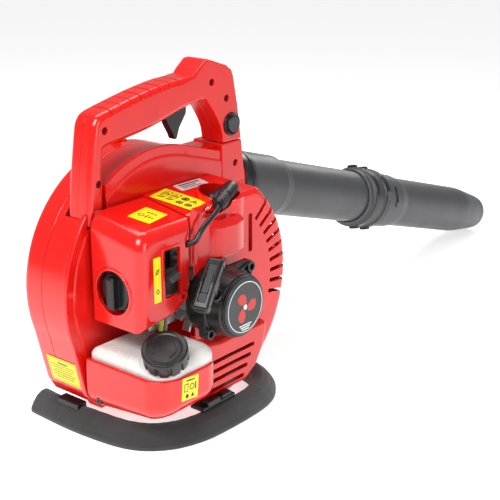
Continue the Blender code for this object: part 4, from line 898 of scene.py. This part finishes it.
def build_tank_cradle():
    """The bumper round the tank's lower half."""
    left, front, right, back = CRADLE_LOW.x, CRADLE_LOW.y, -0.0270, -0.0450
    outline = rounded([(left, front), (left, back, 0), (right, back, 0), (right, front)], 0.027, 10)
    cradle = lift_front(upright(outline, 0.0330, CRADLE_TOP, 0.022, 0.0016, 8))
    space = lift_front(upright(rounded([(left + 0.0036, front + 0.0036), (left + 0.0036, -0.01), (-0.005, -0.01),
                                        (-0.005, front + 0.0036)], 0.0235, 10), 0.0375, 0.13, 0.018, 0, 8))
    cut(cradle, space, box((-0.1000, -0.1350, 0.02), (-0.0400, -0.0600, 0.06)),
        rod((-0.13, -0.0600, 0.0460), (-0.112, -0.0600, 0.0460), 0.0038))
    piece(cradle, "tank_cradle_bumper", "red_plastic", replaces=["tank_cradle"])
    piece(screw_head((-0.1160, -0.0600, 0.0460), -X_AXIS), "cradle_screw", "screw_steel")


# ---- Recoil starter ---------------------------------------------------------------------------------
def build_recoil():
    y_out = -Y_AXIS
    corners = [(-0.0345, -0.0330), (-0.0345, 0.0180), (-0.0200, 0.0350), (0.0425, 0.0350), (0.0425, -0.0150),
               (0.0260, -0.0330)]
    plate = [(x, CRANK_Z + z, 0.005) for x, z in corners]
    flange = slab(rounded(plate), -0.1245, -0.1325, 0.0012, 0.0006, 3)
    body = lathe([(0, 0.0439), (0.0305, 0.0439), (0.0338, 0.0405), (0.0352, 0.0240), (0.0366, 0.0230),
                  (0.0366, 0.0), (0, 0)], (0, -0.1106, CRANK_Z), y_out, 96, 0.0010)
    collar = lathe([(0.0322, 0.0450), (0.0322, 0.0420), (0.0306, 0.0420), (0.0306, 0.0450)],
                   (0, -0.1106, CRANK_Z), y_out, 96, 0.0004)
    join(flange, body, collar)
    lugs = ((0.0365, 0.0285), (-0.0285, -0.0270), (0.0345, -0.0200), (-0.0262, 0.0230))
    rims = []
    for x, z in lugs[:2]:
        rims.append(rod((x, -0.1300, CRANK_Z + z), (x, -0.1365, CRANK_Z + z), 0.0062, 0.0057))
    for x, z in lugs[:2]:
        towards = Vector((-x, 0, -z)).normalized()
        side = towards.cross(Y_AXIS)
        foot = Vector((x, -0.1318, CRANK_Z + z))
        for lean in (-1, 1):
            start = foot + side * lean * 0.0045
            end = foot + towards * 0.0130 + side * lean * 0.0105
            rims.append(sweep([start, end], [(-0.0008, -0.0030), (0.0008, -0.0030), (0.0008, 0.0030),
                                             (-0.0008, 0.0030)], Y_AXIS))
    eyelet = lathe([(0, -0.008), (0.0075, -0.008), (0.0064, 0.004), (0.0072, 0.0055), (0.0068, 0.0078),
                    (0, 0.0078)], ROPE_EXIT, PULL_AXIS, 48, 0.0008)
    join(flange, *rims, eyelet)
    cavity = lathe([(0, 0.0402), (0.0270, 0.0402), (0.0315, 0.0350), (0.0330, 0.0), (0.0330, -0.01), (0, -0.01)],
                   (0, -0.1106, CRANK_Z), y_out, 64)
    cut(flange, cavity, rod(ROPE_EXIT - PULL_AXIS * 0.022, ROPE_EXIT + PULL_AXIS * 0.02, 0.0026))
    for x, z in lugs[:2]:
        cut(flange, rod((x, -0.1310, CRANK_Z + z), (x, -0.1380, CRANK_Z + z), 0.0034))
    piece(flange, "recoil_cover", "black_plastic", replaces=["recoil_housing"])
    heads = [screw_head((x, -0.1322, CRANK_Z + z), y_out, 0.0030) for x, z in lugs[:2]]
    piece(group(heads), "recoil_screws", "screw_steel")
    build_badge()
    build_pull_handle()


def marked(plate, marks, look, inks):
    """A plate with raised printed marks: marks is a list of (object, ink) pairs."""
    plate.data.materials.append(LOOKS[look])
    for ink in inks:
        plate.data.materials.append(LOOKS[ink])
    work = bmesh.new()
    work.from_mesh(plate.data)
    for obj, ink in marks:
        before = len(work.faces)
        work.from_mesh(obj.data)
        work.faces.ensure_lookup_table()
        for face in work.faces[before:]:
            face.material_index = 1 + inks.index(ink)
        bpy.data.objects.remove(obj, do_unlink=True)
    work.to_mesh(plate.data)
    work.free()
    return plate


def build_badge():
    """The disc on the recoil cover, with a generic fan mark."""
    centre = (0, CRANK_Z)
    y = -0.1549
    disc = lathe([(0, 0.0030), (0.0285, 0.0030), (0.0300, 0.0024), (0.0305, 0.0014), (0.0305, 0), (0, 0)],
                 (0, y, CRANK_Z), -Y_AXIS, 96, 0.0003)
    face = y - 0.0030
    marks = []
    ring = arc(centre, 0.0272, 0, 360, 97)[:-1]
    inner = arc(centre, 0.0264, 0, 360, 97)[:-1]
    ring_mark = skin([[Vector((x, face - lift, z)) for x, z in points] for points, lift in
                      ((ring, 0.0), (ring, 0.0002), (inner, 0.0002), (inner, 0.0))], loop=True)
    marks.append((ring_mark, "ink_white"))
    for turn in range(3):
        start = 90 + turn * 120
        blade = (arc(centre, 0.0042, start - 30, start + 50, 10)
                 + [on_circle(centre, 0.0105, start + 62), on_circle(centre, 0.0165, start + 50),
                    on_circle(centre, 0.0172, start + 28), on_circle(centre, 0.0150, start + 8),
                    on_circle(centre, 0.0100, start - 8)])
        marks.append((slab(blade, face + 0.0001, face - 0.0002), "ink_red"))
    marks.append((slab(circle(0.0028, 24, centre), face + 0.0001, face - 0.0002), "ink_white"))
    for index in range(3):
        half = 0.0095 - 0.0020 * index
        low = CRANK_Z - 0.0200 - index * 0.0024
        marks.append((slab([(-half, low), (-half, low + 0.0012), (half, low + 0.0012), (half, low)],
                           face + 0.0001, face - 0.0002), "ink_white"))
    marked(disc, marks, "grey_plastic", ["ink_white", "ink_red"])
    piece(disc, "recoil_badge_disc", "grey_plastic", replaces=["recoil_badge"])


def build_pull_handle():
    """The T-bar, its neck and the cord that it draws out."""
    across = GRIP_AXIS.cross(PULL_AXIS)
    turn = Matrix((PULL_AXIS, across, GRIP_AXIS)).transposed().to_4x4()
    place = Matrix.Translation(ROPE_EXIT + PULL_AXIS * GRIP_REACH) @ turn
    outline = rounded([(-0.0050, -0.0290), (-0.0065, 0.0), (-0.0050, 0.0290), (0.0060, 0.0285), (0.0082, 0.0),
                       (0.0060, -0.0285)], 0.0040, 6)
    grip = slab(outline, -0.0086, 0.0086, 0.0030, 0.0030, 5)
    recess = slab(rounded([(0.0055, -0.0215), (0.0055, 0.0215), (0.02, 0.0215), (0.02, -0.0215)], 0.002),
                  -0.0046, 0.0046)
    side_cuts = []
    for side in (-1, 1):
        for end in (-1, 1):
            low, high = sorted((end * 0.0060, end * 0.0225))
            side_cuts.append(block((-0.0030, side * 0.0080, low), (0.0040, side * 0.0100, high), 0, 0.0015))
    insert = block((0.0040, -0.0040, -0.0110), (0.0066, 0.0040, 0.0110), 0.0008)
    for obj in (grip, recess, insert, *side_cuts):
        obj.data.transform(place)
    cut(grip, recess, group(side_cuts))
    neck = lathe([(0, 0.0105), (0.0046, 0.0105), (0.0052, 0.014), (0.0060, 0.021), (0.0080, GRIP_REACH - 0.003),
                  (0, GRIP_REACH - 0.003)], ROPE_EXIT, PULL_AXIS, 48, 0.0008)
    join(grip, insert, neck)
    piece(grip, "pull_handle_grip", "black_plastic", "pull_grip", ["starter_handle"])

    start, end = ROPE_EXIT + PULL_AXIS * 0.001, ROPE_EXIT + PULL_AXIS * 0.0115
    cord = sweep([start.lerp(end, step / 12) for step in range(13)], circle(0.0019, 16), Y_AXIS)
    cord.name = "pull_cord"
    cord.data.transform(TO_WORLD)
    cord.data.materials.append(LOOKS["cord"])
    cord.data.shade_smooth()
    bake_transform(cord)


# ---- Handle -----------------------------------------------------------------------------------------
GRIP_TOP = [(-0.103, 0.224), (-0.099, 0.262), (-0.094, 0.296), (-0.090, 0.319), (-0.086, 0.3285),
            (-0.078, 0.3345), (-0.055, 0.3400), (-0.020, 0.3470), (0.014, 0.3520), (0.040, 0.3535), (0.056, 0.3540)]
HOOD = [(0.0615, 0.3585), (0.0735, 0.3675), (0.0800, 0.3680), (0.1080, 0.3585), (0.1165, 0.3520),
        (0.1195, 0.3450), (0.1265, 0.3120), (0.1325, 0.2725)]
GRIP_UNDER = [(0.1015, 0.2725), (0.0985, 0.2880), (0.0900, 0.3040), (0.0780, 0.3205), (0.0710, 0.3275),
              (0.0620, 0.3265), (0.0300, 0.3180), (0.0000, 0.3105), (-0.0220, 0.3065), (-0.0490, 0.3030),
              (-0.0720, 0.3005), (-0.0785, 0.2940), (-0.0785, 0.2620), (-0.0800, 0.2240)]
HANDLE_HALF = 0.0165
HOOD_START_X = 0.0580
GROOVES = [-0.066, -0.052, -0.038, -0.024, -0.010, 0.004, 0.018, 0.032]
GROOVE_DEPTH = 0.0017
SCREWS = [(-0.076, 0.318), (-0.0870, 0.266), (0.083, 0.343), (0.107, 0.322)]
BUTTON = (0.1150, 0.292)
TRIGGER_PIVOT = Vector((0.0310, HANDLE_Y, 0.3330))


def handle_outline():
    """The D-handle's outline, with each point marked by how soft its rim is and whether a groove crosses it."""
    top = [tuple(point) for point in smooth_path(GRIP_TOP, 40)]
    under = [tuple(point) for point in smooth_path(GRIP_UNDER, 5)]
    outline = top + HOOD + under
    softness, grooved = [], []
    for x, z in outline:
        softness.append(1.0 - 0.72 * min(max((x - HOOD_START_X + 0.020) / 0.024, 0.0), 1.0))
        on_top = z > 0.333 and (x, z) in top
        grooved.append(on_top and min(abs(x - groove) for groove in GROOVES) < 0.0007)
    return outline, softness, grooved


def handle_shell(side):
    """One half: a flat slab whose outer rim is fully round on the grip and crisp on the hood."""
    outline, softness, grooved = handle_outline()
    normals = inward_normals(outline)
    near = HANDLE_Y + side * SEAM
    far = HANDLE_Y + side * HANDLE_HALF
    rim = 0.0070
    rings = []
    turns = [None] + [math.pi / 2 * step / 9 for step in range(10)]
    for turn in turns:
        ring = []
        for point, normal, soft, groove in zip(outline, normals, softness, grooved):
            radius = rim * soft
            depth, y = (0.0, near) if turn is None else (
                radius * (1 - math.cos(turn)), far - side * radius * (1 - math.sin(turn)))
            if groove:
                turned = turn or 0.0
                fade = min((math.pi / 2 - turned) / 0.35, 1.0)
                depth += GROOVE_DEPTH * fade * math.cos(turned)
                y -= side * GROOVE_DEPTH * fade * math.sin(turned)
            place = Vector(point) + normal * depth
            ring.append(Vector((place.x, y, place.y)))
        rings.append(ring)
    return skin(rings)


def build_handle():
    slot = box((0.0130, HANDLE_Y - 0.0052, 0.300), (0.0600, HANDLE_Y + 0.0052, 0.3295))
    for side, name, node in ((-1, "handle_right_shell", "handle_right_half"),
                             (1, "handle_left_shell", "handle_left_half")):
        shell = handle_shell(side)
        lip = block((-0.102, HANDLE_Y + side * 0.0002, 0.2232), (-0.0798, HANDLE_Y + side * 0.0150, 0.2262), 0.0006)
        cutters = [slot.copy()]
        cutters[0].data = slot.data.copy()
        bpy.context.scene.collection.objects.link(cutters[0])
        bpy.data.objects.remove(lip, do_unlink=True)
        face = HANDLE_Y + side * HANDLE_HALF
        depth = 0.0045 if side < 0 else 0.0012
        for x, z in SCREWS:
            cutters.append(rod((x, face + side * 0.004, z), (x, face - side * depth, z), 0.0040))
        if side < 0:
            cutters.append(rod((BUTTON[0], face - 0.01, BUTTON[1]), (BUTTON[0], face + 0.008, BUTTON[1]), 0.0108))
        cut(shell, *cutters)
        piece(shell, name, "red_plastic", replaces=[node])
    bpy.data.objects.remove(slot, do_unlink=True)
    face = HANDLE_Y - HANDLE_HALF
    heads = [screw_head((x, face + 0.0042, z), -Y_AXIS) for x, z in SCREWS]
    heads.append(screw_head((0.1214, -0.0390, 0.2463), -Y_AXIS))
    piece(group(heads), "handle_screws", "screw_steel")


def build_controls():
    outline = rounded([(0.0240, 0.3360), (0.0218, 0.3140, 0.004), (0.0262, 0.3040), (0.0330, 0.2930),
                       (0.0355, 0.2872), (0.0392, 0.2868), (0.0408, 0.2900), (0.0440, 0.2985, 0.004),
                       (0.0500, 0.3060, 0.004), (0.0548, 0.3125), (0.0560, 0.3260), (0.0400, 0.3370)], 0.0016, 5)
    trigger = slab(outline, HANDLE_Y - 0.0047, HANDLE_Y + 0.0047, 0.0016, 0.0016, 5)
    cut(trigger, rod(TRIGGER_PIVOT - Y_AXIS * 0.01, TRIGGER_PIVOT + Y_AXIS * 0.01, 0.0024))
    piece(trigger, "trigger_finger", "black_plastic", "trigger", ["throttle_trigger"])

    face = Vector((BUTTON[0], HANDLE_Y - HANDLE_HALF, BUTTON[1]))
    bezel = lathe([(0.0118, 0.0026), (0.0130, 0.0014), (0.0130, 0.0004), (0.0103, 0.0004), (0.0103, -0.0080),
                   (0.0092, -0.0080), (0.0092, 0.0020)], face, -Y_AXIS, 72, 0.0004)
    piece(bezel, "stop_switch_ring", "black_plastic", replaces=["stop_switch_bezel"])
    button = lathe([(0, 0.0044), (0.0072, 0.0050), (0.0085, 0.0046), (0.0088, 0.0036), (0.0088, -0.0040),
                    (0, -0.0040)], face, -Y_AXIS, 72, 0.0005)
    piece(button, "stop_button_cap", "grey_plastic", "stop", ["stop_button"])


# ---- Stand ------------------------------------------------------------------------------------------
STAND_PATH = [(-0.1055, 0.046), (-0.1070, 0.012), (-0.1070, -0.030), (-0.1000, -0.085), (-0.0810, -0.1140),
              (-0.0500, -0.1290), (-0.0080, -0.1330), (0.0500, -0.1305), (0.0820, -0.1150), (0.0990, -0.0880),
              (0.1040, -0.030), (0.1030, 0.046)]
STAND_SECTION = [(-0.0150, 0, 0.002), (0.0150, 0, 0.002), (0.0152, 0.0070), (0.0120, 0.0170),
                 (0.0070, 0.0218), (0.0010, 0.0218), (-0.0060, 0.0178), (-0.0115, 0.0115), (-0.0152, 0.0050)]


def build_stand():
    """Foam sleeve: a flat-bottomed section swept along the horseshoe, with soft cut ends."""
    path = smooth_path([(x, y, 0) for x, y in STAND_PATH], 10)
    section = rounded(STAND_SECTION, 0.0045, 4)
    rings = []
    for index, place in enumerate(path):
        ahead = path[min(index + 1, len(path) - 1)] - path[max(index - 1, 0)]
        inward = Z_AXIS.cross(ahead).normalized()
        from_end = min(index, len(path) - 1 - index)
        close = {0: 0.93, 1: 0.99}.get(from_end, 1.0)
        ripple = 1 + 0.006 * math.sin(index * 1.9) + 0.004 * math.sin(index * 0.63)
        rings.append([place + inward * (across * close * ripple) + Z_AXIS * (up * close * ripple)
                      for across, up in section])
    piece(skin(rings), "stand_foam", "foam_rubber", replaces=["stand"], smooth=50)

    clip = block((-0.0350, -0.1300, 0.0222), (0.0165, -0.1108, 0.0275), 0.0012)
    parts = [block((-0.0280, -0.1310, 0.0250), (-0.0080, -0.1200, 0.0325), 0.0012),
             block((-0.0040, -0.1290, 0.0250), (0.0120, -0.1190, 0.0312), 0.0012)]
    for x in (-0.1045, 0.0985):
        parts.append(block((x - 0.0065, -0.020, 0.0180), (x + 0.0065, 0.012, 0.0262), 0.001))
    piece(group([join(clip, *parts[:2])] + parts[2:]), "stand_clips", "black_plastic", replaces=["stand_clip"])


# ---- Tubes ------------------------------------------------------------------------------------------
def band(radius, start, end, lift=0.0012):
    """Profile points of a raised band on a tube, from its far end back to its near end."""
    return [(radius, end + 0.0006), (radius + lift, end), (radius + lift, start), (radius, start - 0.0006)]


def build_tubes():
    base = tube_point(0)
    bore = TUBE_R - TUBE_WALL
    clamp = [(0.0384, 0.1345), (0.0402, 0.1335), (0.0402, 0.1310), (0.0390, 0.1300), (0.0390, 0.1210),
             (0.0402, 0.1200), (0.0402, 0.1170), (0.0384, 0.1160), (0.0352, 0.1160), (0.0352, 0.1345)]
    ring = lathe(clamp, base, ALONG_TUBE, 96, 0.0005)
    place = tube_point(0.1252)
    ear_axis = ACROSS_TUBE * math.cos(math.radians(118)) - Y_AXIS * math.sin(math.radians(118))
    ears = []
    for lean in (-0.0042, 0.0042):
        root = place + ear_axis * 0.0385 + ear_axis.cross(ALONG_TUBE) * lean
        ears.append(sweep([root, root + ear_axis * 0.0080], [(-0.0065, -0.0013), (0.0065, -0.0013),
                                                             (0.0065, 0.0013), (-0.0065, 0.0013)],
                          ear_axis.cross(ALONG_TUBE)))
    join(ring, *ears)
    piece(ring, "tube_clamp_band", "black_plastic", replaces=["tube_clamp_ring"])

    rear = ([(TUBE_R, 0.4850), (TUBE_R, 0.2190), (0.0366, 0.2080), (0.0380, 0.2030)]
            + [(0.0380, 0.1420), (0.0372, 0.1380), (TUBE_R, 0.1380), (TUBE_R, 0.1000), (bore, 0.1000),
               (bore, 0.4850)])
    rear = lathe(rear, base, ALONG_TUBE, 96, 0.0020)
    pin_root = tube_point(0.466, side=-0.0335)
    join(rear, rod(pin_root, pin_root - Y_AXIS * 0.0050, 0.0028))
    piece(rear, "rear_tube", "tube_plastic", replaces=["blow_tube_rear"])

    socket = TUBE_R + 0.0004
    nozzle = ([(0.0262, 0.7640), (0.0275, 0.7560), (TUBE_R - 0.0006, 0.7000), (TUBE_R, 0.6900), (TUBE_R, 0.5020),
               (0.0374, 0.4850)]
              + [(0.0374, 0.4440), (0.0402, 0.4430), (0.0412, 0.4405), (0.0412, 0.4320), (0.0402, 0.4295),
                 (0.0392, 0.4285), (0.0392, 0.4160), (0.0402, 0.4150), (0.0412, 0.4125), (0.0412, 0.4050),
                 (0.0402, 0.4025), (0.0380, 0.4015), (0.0378, 0.3940), (socket, 0.3930), (socket, 0.4870),
                 (bore, 0.4880), (bore, 0.6900), (0.0242, 0.7640)])
    nozzle = lathe(nozzle, base, ALONG_TUBE, 96, 0.0008)
    lugs = []
    for angle in (165, 300):
        lug_axis = ACROSS_TUBE * math.sin(math.radians(angle)) + Y_AXIS * math.cos(math.radians(angle))
        root = tube_point(0.4365) + lug_axis * 0.0390
        lugs.append(sweep([root, root + lug_axis * 0.0035, root + lug_axis * 0.0052],
                          rounded([(-0.0055, -0.0048), (0.0055, -0.0048), (0.0055, 0.0048), (-0.0055, 0.0048)],
                                  0.0010, 3), ALONG_TUBE, [1, 1, 0.85]))
    join(nozzle, group(lugs))
    slot = block((-0.0036, -0.045, -0.0036), (0.0036, -0.025, 0.0240), 0, 0.0030)
    slot.data.transform(Matrix.Translation(tube_point(0.466)) @ Matrix.Rotation(OUTLET_SLOPE, 4, "Y"))
    cut(nozzle, slot)
    piece(nozzle, "nozzle_tube", "tube_plastic", "nozzle", ["blow_tube_nozzle"])

    bands = [lathe([(0.0400, high), (0.0416, high - 0.0008), (0.0416, low + 0.0008), (0.0400, low),
                    (0.0385, low), (0.0385, high)], base, ALONG_TUBE, 96, 0.0003)
             for low, high in ((0.4035, 0.4145), (0.4300, 0.4425))]
    clips = []
    for angle in (75, 255):
        ear_axis = ACROSS_TUBE * math.sin(math.radians(angle)) + Y_AXIS * math.cos(math.radians(angle))
        for along in (0.4090, 0.4362):
            root = tube_point(along) + ear_axis * 0.0400
            clips.append(sweep([root, root + ear_axis * 0.0030, root + ear_axis * 0.0042],
                               rounded([(-0.0060, -0.0042), (0.0060, -0.0042), (0.0060, 0.0042),
                                        (-0.0060, 0.0042)], 0.0010, 3), ALONG_TUBE, [1, 1, 0.85]))
    piece(group(bands + clips), "nozzle_clamp_bands", "black_plastic", "nozzle")


# ---- Labels -----------------------------------------------------------------------------------------
def triangle(u, v, size):
    return [(u - size / 2, v - size * 0.42), (u, v + size * 0.46), (u + size / 2, v - size * 0.42)]


def frame_marks(outline, stroke):
    """A drawn outline: the ring between an outline and its inset."""
    return ("line", outline, stroke)


def label(name, centre, right, up, size, marks, look="label_yellow", ink="ink_black"):
    """A thin sticker on a flat face, with its marks printed slightly proud.

    right and up are directions on the face; marks are ("fill", outline) or ("line", outline, stroke),
    in metres from the label's middle.
    """
    right = Vector(right).normalized()
    normal = right.cross(Vector(up)).normalized()
    up = normal.cross(right)
    turn = Matrix((right, -normal, up)).transposed().to_4x4()
    place = Matrix.Translation(Vector(centre)) @ turn
    half_u, half_v = size[0] / 2, size[1] / 2
    plate = slab(rounded([(-half_u, -half_v), (-half_u, half_v), (half_u, half_v), (half_u, -half_v)], 0.0012, 4),
                 0.0, -0.00030)
    printed = []
    for mark in marks:
        if mark[0] == "fill":
            made = slab(mark[1], -0.00028, -0.00042)
        else:
            inner = inset(mark[1], mark[2])
            made = skin([[Vector((x, y, z)) for x, z in points] for points, y in
                         ((mark[1], -0.00028), (mark[1], -0.00042), (inner, -0.00042), (inner, -0.00028))],
                        loop=True)
        printed.append((made, ink))
    marked(plate, printed, look, [ink])
    plate.data.transform(place)
    piece(plate, name, look)


def bar(u, v, width, height):
    return ("fill", [(u - width / 2, v - height / 2), (u - width / 2, v + height / 2),
                     (u + width / 2, v + height / 2), (u + width / 2, v - height / 2)])


def warning_sign(u, v, size):
    """A triangle with a plain stroke and dot."""
    return [("line", triangle(u, v, size), size * 0.11), bar(u, v + size * 0.02, size * 0.12, size * 0.28),
            bar(u, v - size * 0.21, size * 0.13, size * 0.10)]


def round_sign(u, v, size, inner):
    """A ring with a bar printed across its middle."""
    return [("line", circle(size / 2, 28, (u, v)), size * 0.20), bar(u, v, size * 0.36, size * inner)]


def build_labels():
    fall = Vector((0, 1, SHELF_TILT)).normalized()

    def on_shelf(x, y):
        return Vector((x, y, SHELF_Z + SHELF_TILT * (y - CASING_BACK_Y) + 0.0003))

    long_way = Vector((0.22, -0.97, 0)) + Z_AXIS * (-0.97 * SHELF_TILT)
    marks = []
    for column, u in enumerate((-0.0165, -0.0060, 0.0055, 0.0160)):
        if column < 2:
            marks += [("line", [(u - 0.0042, -0.0010), (u - 0.0042, 0.0120), (u + 0.0042, 0.0120),
                                (u + 0.0042, -0.0010)], 0.0008)]
            marks += warning_sign(u, 0.0055, 0.0070)
        elif column == 2:
            marks += round_sign(u, 0.0055, 0.0088, 0.5)
        else:
            marks += warning_sign(u, 0.0058, 0.0088)
        if column < 2:
            marks += [bar(u - 0.0015, -0.0080, 0.0050, 0.0020), bar(u + 0.0016, -0.0058, 0.0030, 0.0026)]
            marks += [("fill", circle(0.0013, 14, (u - 0.0020, -0.0040)))]
        else:
            marks += round_sign(u, -0.0070, 0.0080, 0.35)
    label("pictogram_label", on_shelf(-0.0040, -0.0712), long_way, Vector((0.97, 0.22, 0)), (0.0500, 0.0330), marks)

    rows = [bar(-0.0030 + 0.004 * index, 0.0065, 0.0026, 0.0020) for index in range(3)]
    rows += [("line", circle(0.0034, 20, (-0.0055, -0.0035)), 0.0009),
             bar(0.0008, -0.0035, 0.0014, 0.0068), bar(0.0042, -0.0035, 0.0014, 0.0046),
             bar(0.0074, -0.0035, 0.0014, 0.0026)]
    small_way = Vector((0.20, -0.98, 0)) + Z_AXIS * (-0.98 * SHELF_TILT)
    label("noise_label", on_shelf(-0.0600, -0.0820), small_way, Vector((0.98, 0.20, 0)), (0.0260, 0.0340), rows)

    silver = [bar(0, 0.0040, 0.030, 0.0022), bar(-0.004, 0.0, 0.022, 0.0014), bar(-0.002, -0.0036, 0.026, 0.0014)]
    label("rating_plate", on_shelf(0.0370, -0.0520), (1, -0.05, 0), fall, (0.0400, 0.0150), silver, "label_silver")

    choke = [("line", circle(0.0024, 20, (0, 0.0085)), 0.0005),
             ("fill", [(-0.0028, 0.0060), (-0.0020, 0.0056), (0.0028, 0.0110), (0.0020, 0.0114)]),
             ("line", circle(0.0024, 20, (0, -0.0120)), 0.0005), bar(0, -0.0120, 0.0006, 0.0060)]
    label("choke_label", (-0.0832, AIR_BOX_FACE_Y - 0.0001, 0.1815), X_AXIS, Z_AXIS, (0.0098, 0.0470), choke)

    foot_up = Vector((-0.1258 + 0.112, 0, 0.1047 - 0.046)).normalized()
    foot_place = Vector((-0.112, 0, 0.046)) + foot_up * 0.0185 + foot_up.cross(Y_AXIS) * 0.0005
    text = [bar(0, 0.0095, 0.0150, 0.0016)]
    for index in range(6):
        text.append(bar(-0.0010 + 0.0008 * (index % 2), 0.0060 - index * 0.0030, 0.036 - 0.004 * (index % 3), 0.0007))
    text.append(("line", [(-0.0215, -0.0140), (-0.0215, 0.0140), (0.0215, 0.0140), (0.0215, -0.0140)], 0.0005))
    label("safety_label", foot_place - Y_AXIS * 0.009, -Y_AXIS, foot_up, (0.0460, 0.0310), text)

    mix = [bar(0.0, 0.0085, 0.0120, 0.0014), ("line", [(-0.0085, -0.0030), (-0.0085, 0.0055), (-0.0030, 0.0055),
                                                       (-0.0030, -0.0030)], 0.0008),
           ("line", circle(0.0034, 20, (0.0025, 0.0012)), 0.0009), bar(0.0078, 0.0012, 0.0016, 0.0075),
           ("fill", circle(0.0022, 16, (-0.0040, -0.0078))), ("fill", triangle(0.0040, -0.0075, 0.0050))]
    label("fuel_label", (-0.0800, CRADLE_LOW.y - 0.0002, 0.0765), Vector((1, 0, -0.10)), Z_AXIS,
          (0.0235, 0.0240), mix)


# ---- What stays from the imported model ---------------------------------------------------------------
def finish_cad_nodes():
    """Every node that stays visible gets the procedural finish of its material slot."""
    slots = {row["node"]: row["material_slot"] for row in frame["record"]["subparts"]}
    for name, obj in frame["nodes"].items():
        if obj.hide_render:
            continue
        obj.data.materials.clear()
        obj.data.materials.append(LOOKS[slots[name]])


# ---- Stage ------------------------------------------------------------------------------------------
def area_light(name, place, target, size, power):
    lamp = bpy.data.lights.new(name, "AREA")
    lamp.shape = "RECTANGLE"
    lamp.size, lamp.size_y = size
    lamp.energy = power
    obj = bpy.data.objects.new(name, lamp)
    obj.location = place
    obj.rotation_euler = (Vector(target) - Vector(place)).to_track_quat("-Z", "Y").to_euler()
    bpy.context.scene.collection.objects.link(obj)


def build_stage():
    """A pale sweep of floor, soft light from all round and the camera."""
    floor_y = 4.0
    floor = skin([[Vector((-floor_y, -floor_y, -0.02)), Vector((floor_y, -floor_y, -0.02)),
                   Vector((floor_y, floor_y, -0.02)), Vector((-floor_y, floor_y, -0.02))],
                  [Vector((-floor_y, -floor_y, 0)), Vector((floor_y, -floor_y, 0)),
                   Vector((floor_y, floor_y, 0)), Vector((-floor_y, floor_y, 0))]])
    floor.name = "floor"
    stage_look = Look("stage", (0.88, 0.88, 0.88), 0.35)
    stage_look.mottle(2, 0.99, 1.01).polish(8, 0.03)
    stage_look.set(emission_color=(1, 1, 1, 1), emission_strength=0.62)
    floor.data.materials.append(stage_look.material)

    world = bpy.data.worlds.new("studio")
    bpy.context.scene.world = world
    world.use_nodes = True
    tree = world.node_tree
    back = tree.nodes["Background"]
    back.inputs["Color"].default_value = (1, 1, 1, 1)
    path = tree.nodes.new("ShaderNodeLightPath")
    strength = tree.nodes.new("ShaderNodeMapRange")
    strength.inputs["To Min"].default_value = 0.30
    strength.inputs["To Max"].default_value = 1.0
    tree.links.new(path.outputs["Is Camera Ray"], strength.inputs["Value"])
    tree.links.new(strength.outputs["Result"], back.inputs["Strength"])
    target = (0.12, -0.05, 0.15)
    area_light("key", (-0.9, -0.3, 1.3), target, (0.9, 0.6), 19)
    area_light("front", (-0.2, -1.7, 0.6), target, (0.5, 1.0), 7)
    area_light("top", (0.4, 0.3, 1.7), target, (1.2, 0.7), 12)
    area_light("rim", (1.4, 0.3, 0.9), target, (0.4, 1.0), 6)

    camera = bpy.data.cameras.new("camera")
    camera.lens = 80.1
    camera.sensor_width = 36
    holder = bpy.data.objects.new("camera", camera)
    holder.location = (-0.7018, -0.8296, 0.5663)
    look_at = Vector((0.1926, -0.0936, 0.1627))
    holder.rotation_euler = (look_at - holder.location).to_track_quat("-Z", "Y").to_euler()
    bpy.context.scene.collection.objects.link(holder)
    bpy.context.scene.camera = holder
    bpy.context.scene.view_settings.view_transform = "Standard"


build_casing()
build_inlet_guard()
build_engine_cover()
build_air_box()
build_plug_cap()
build_fuel_tank()
build_fuel_lines()
build_tank_cradle()
build_recoil()
build_handle()
build_controls()
build_stand()
build_tubes()
build_labels()
finish_cad_nodes()
build_stage()
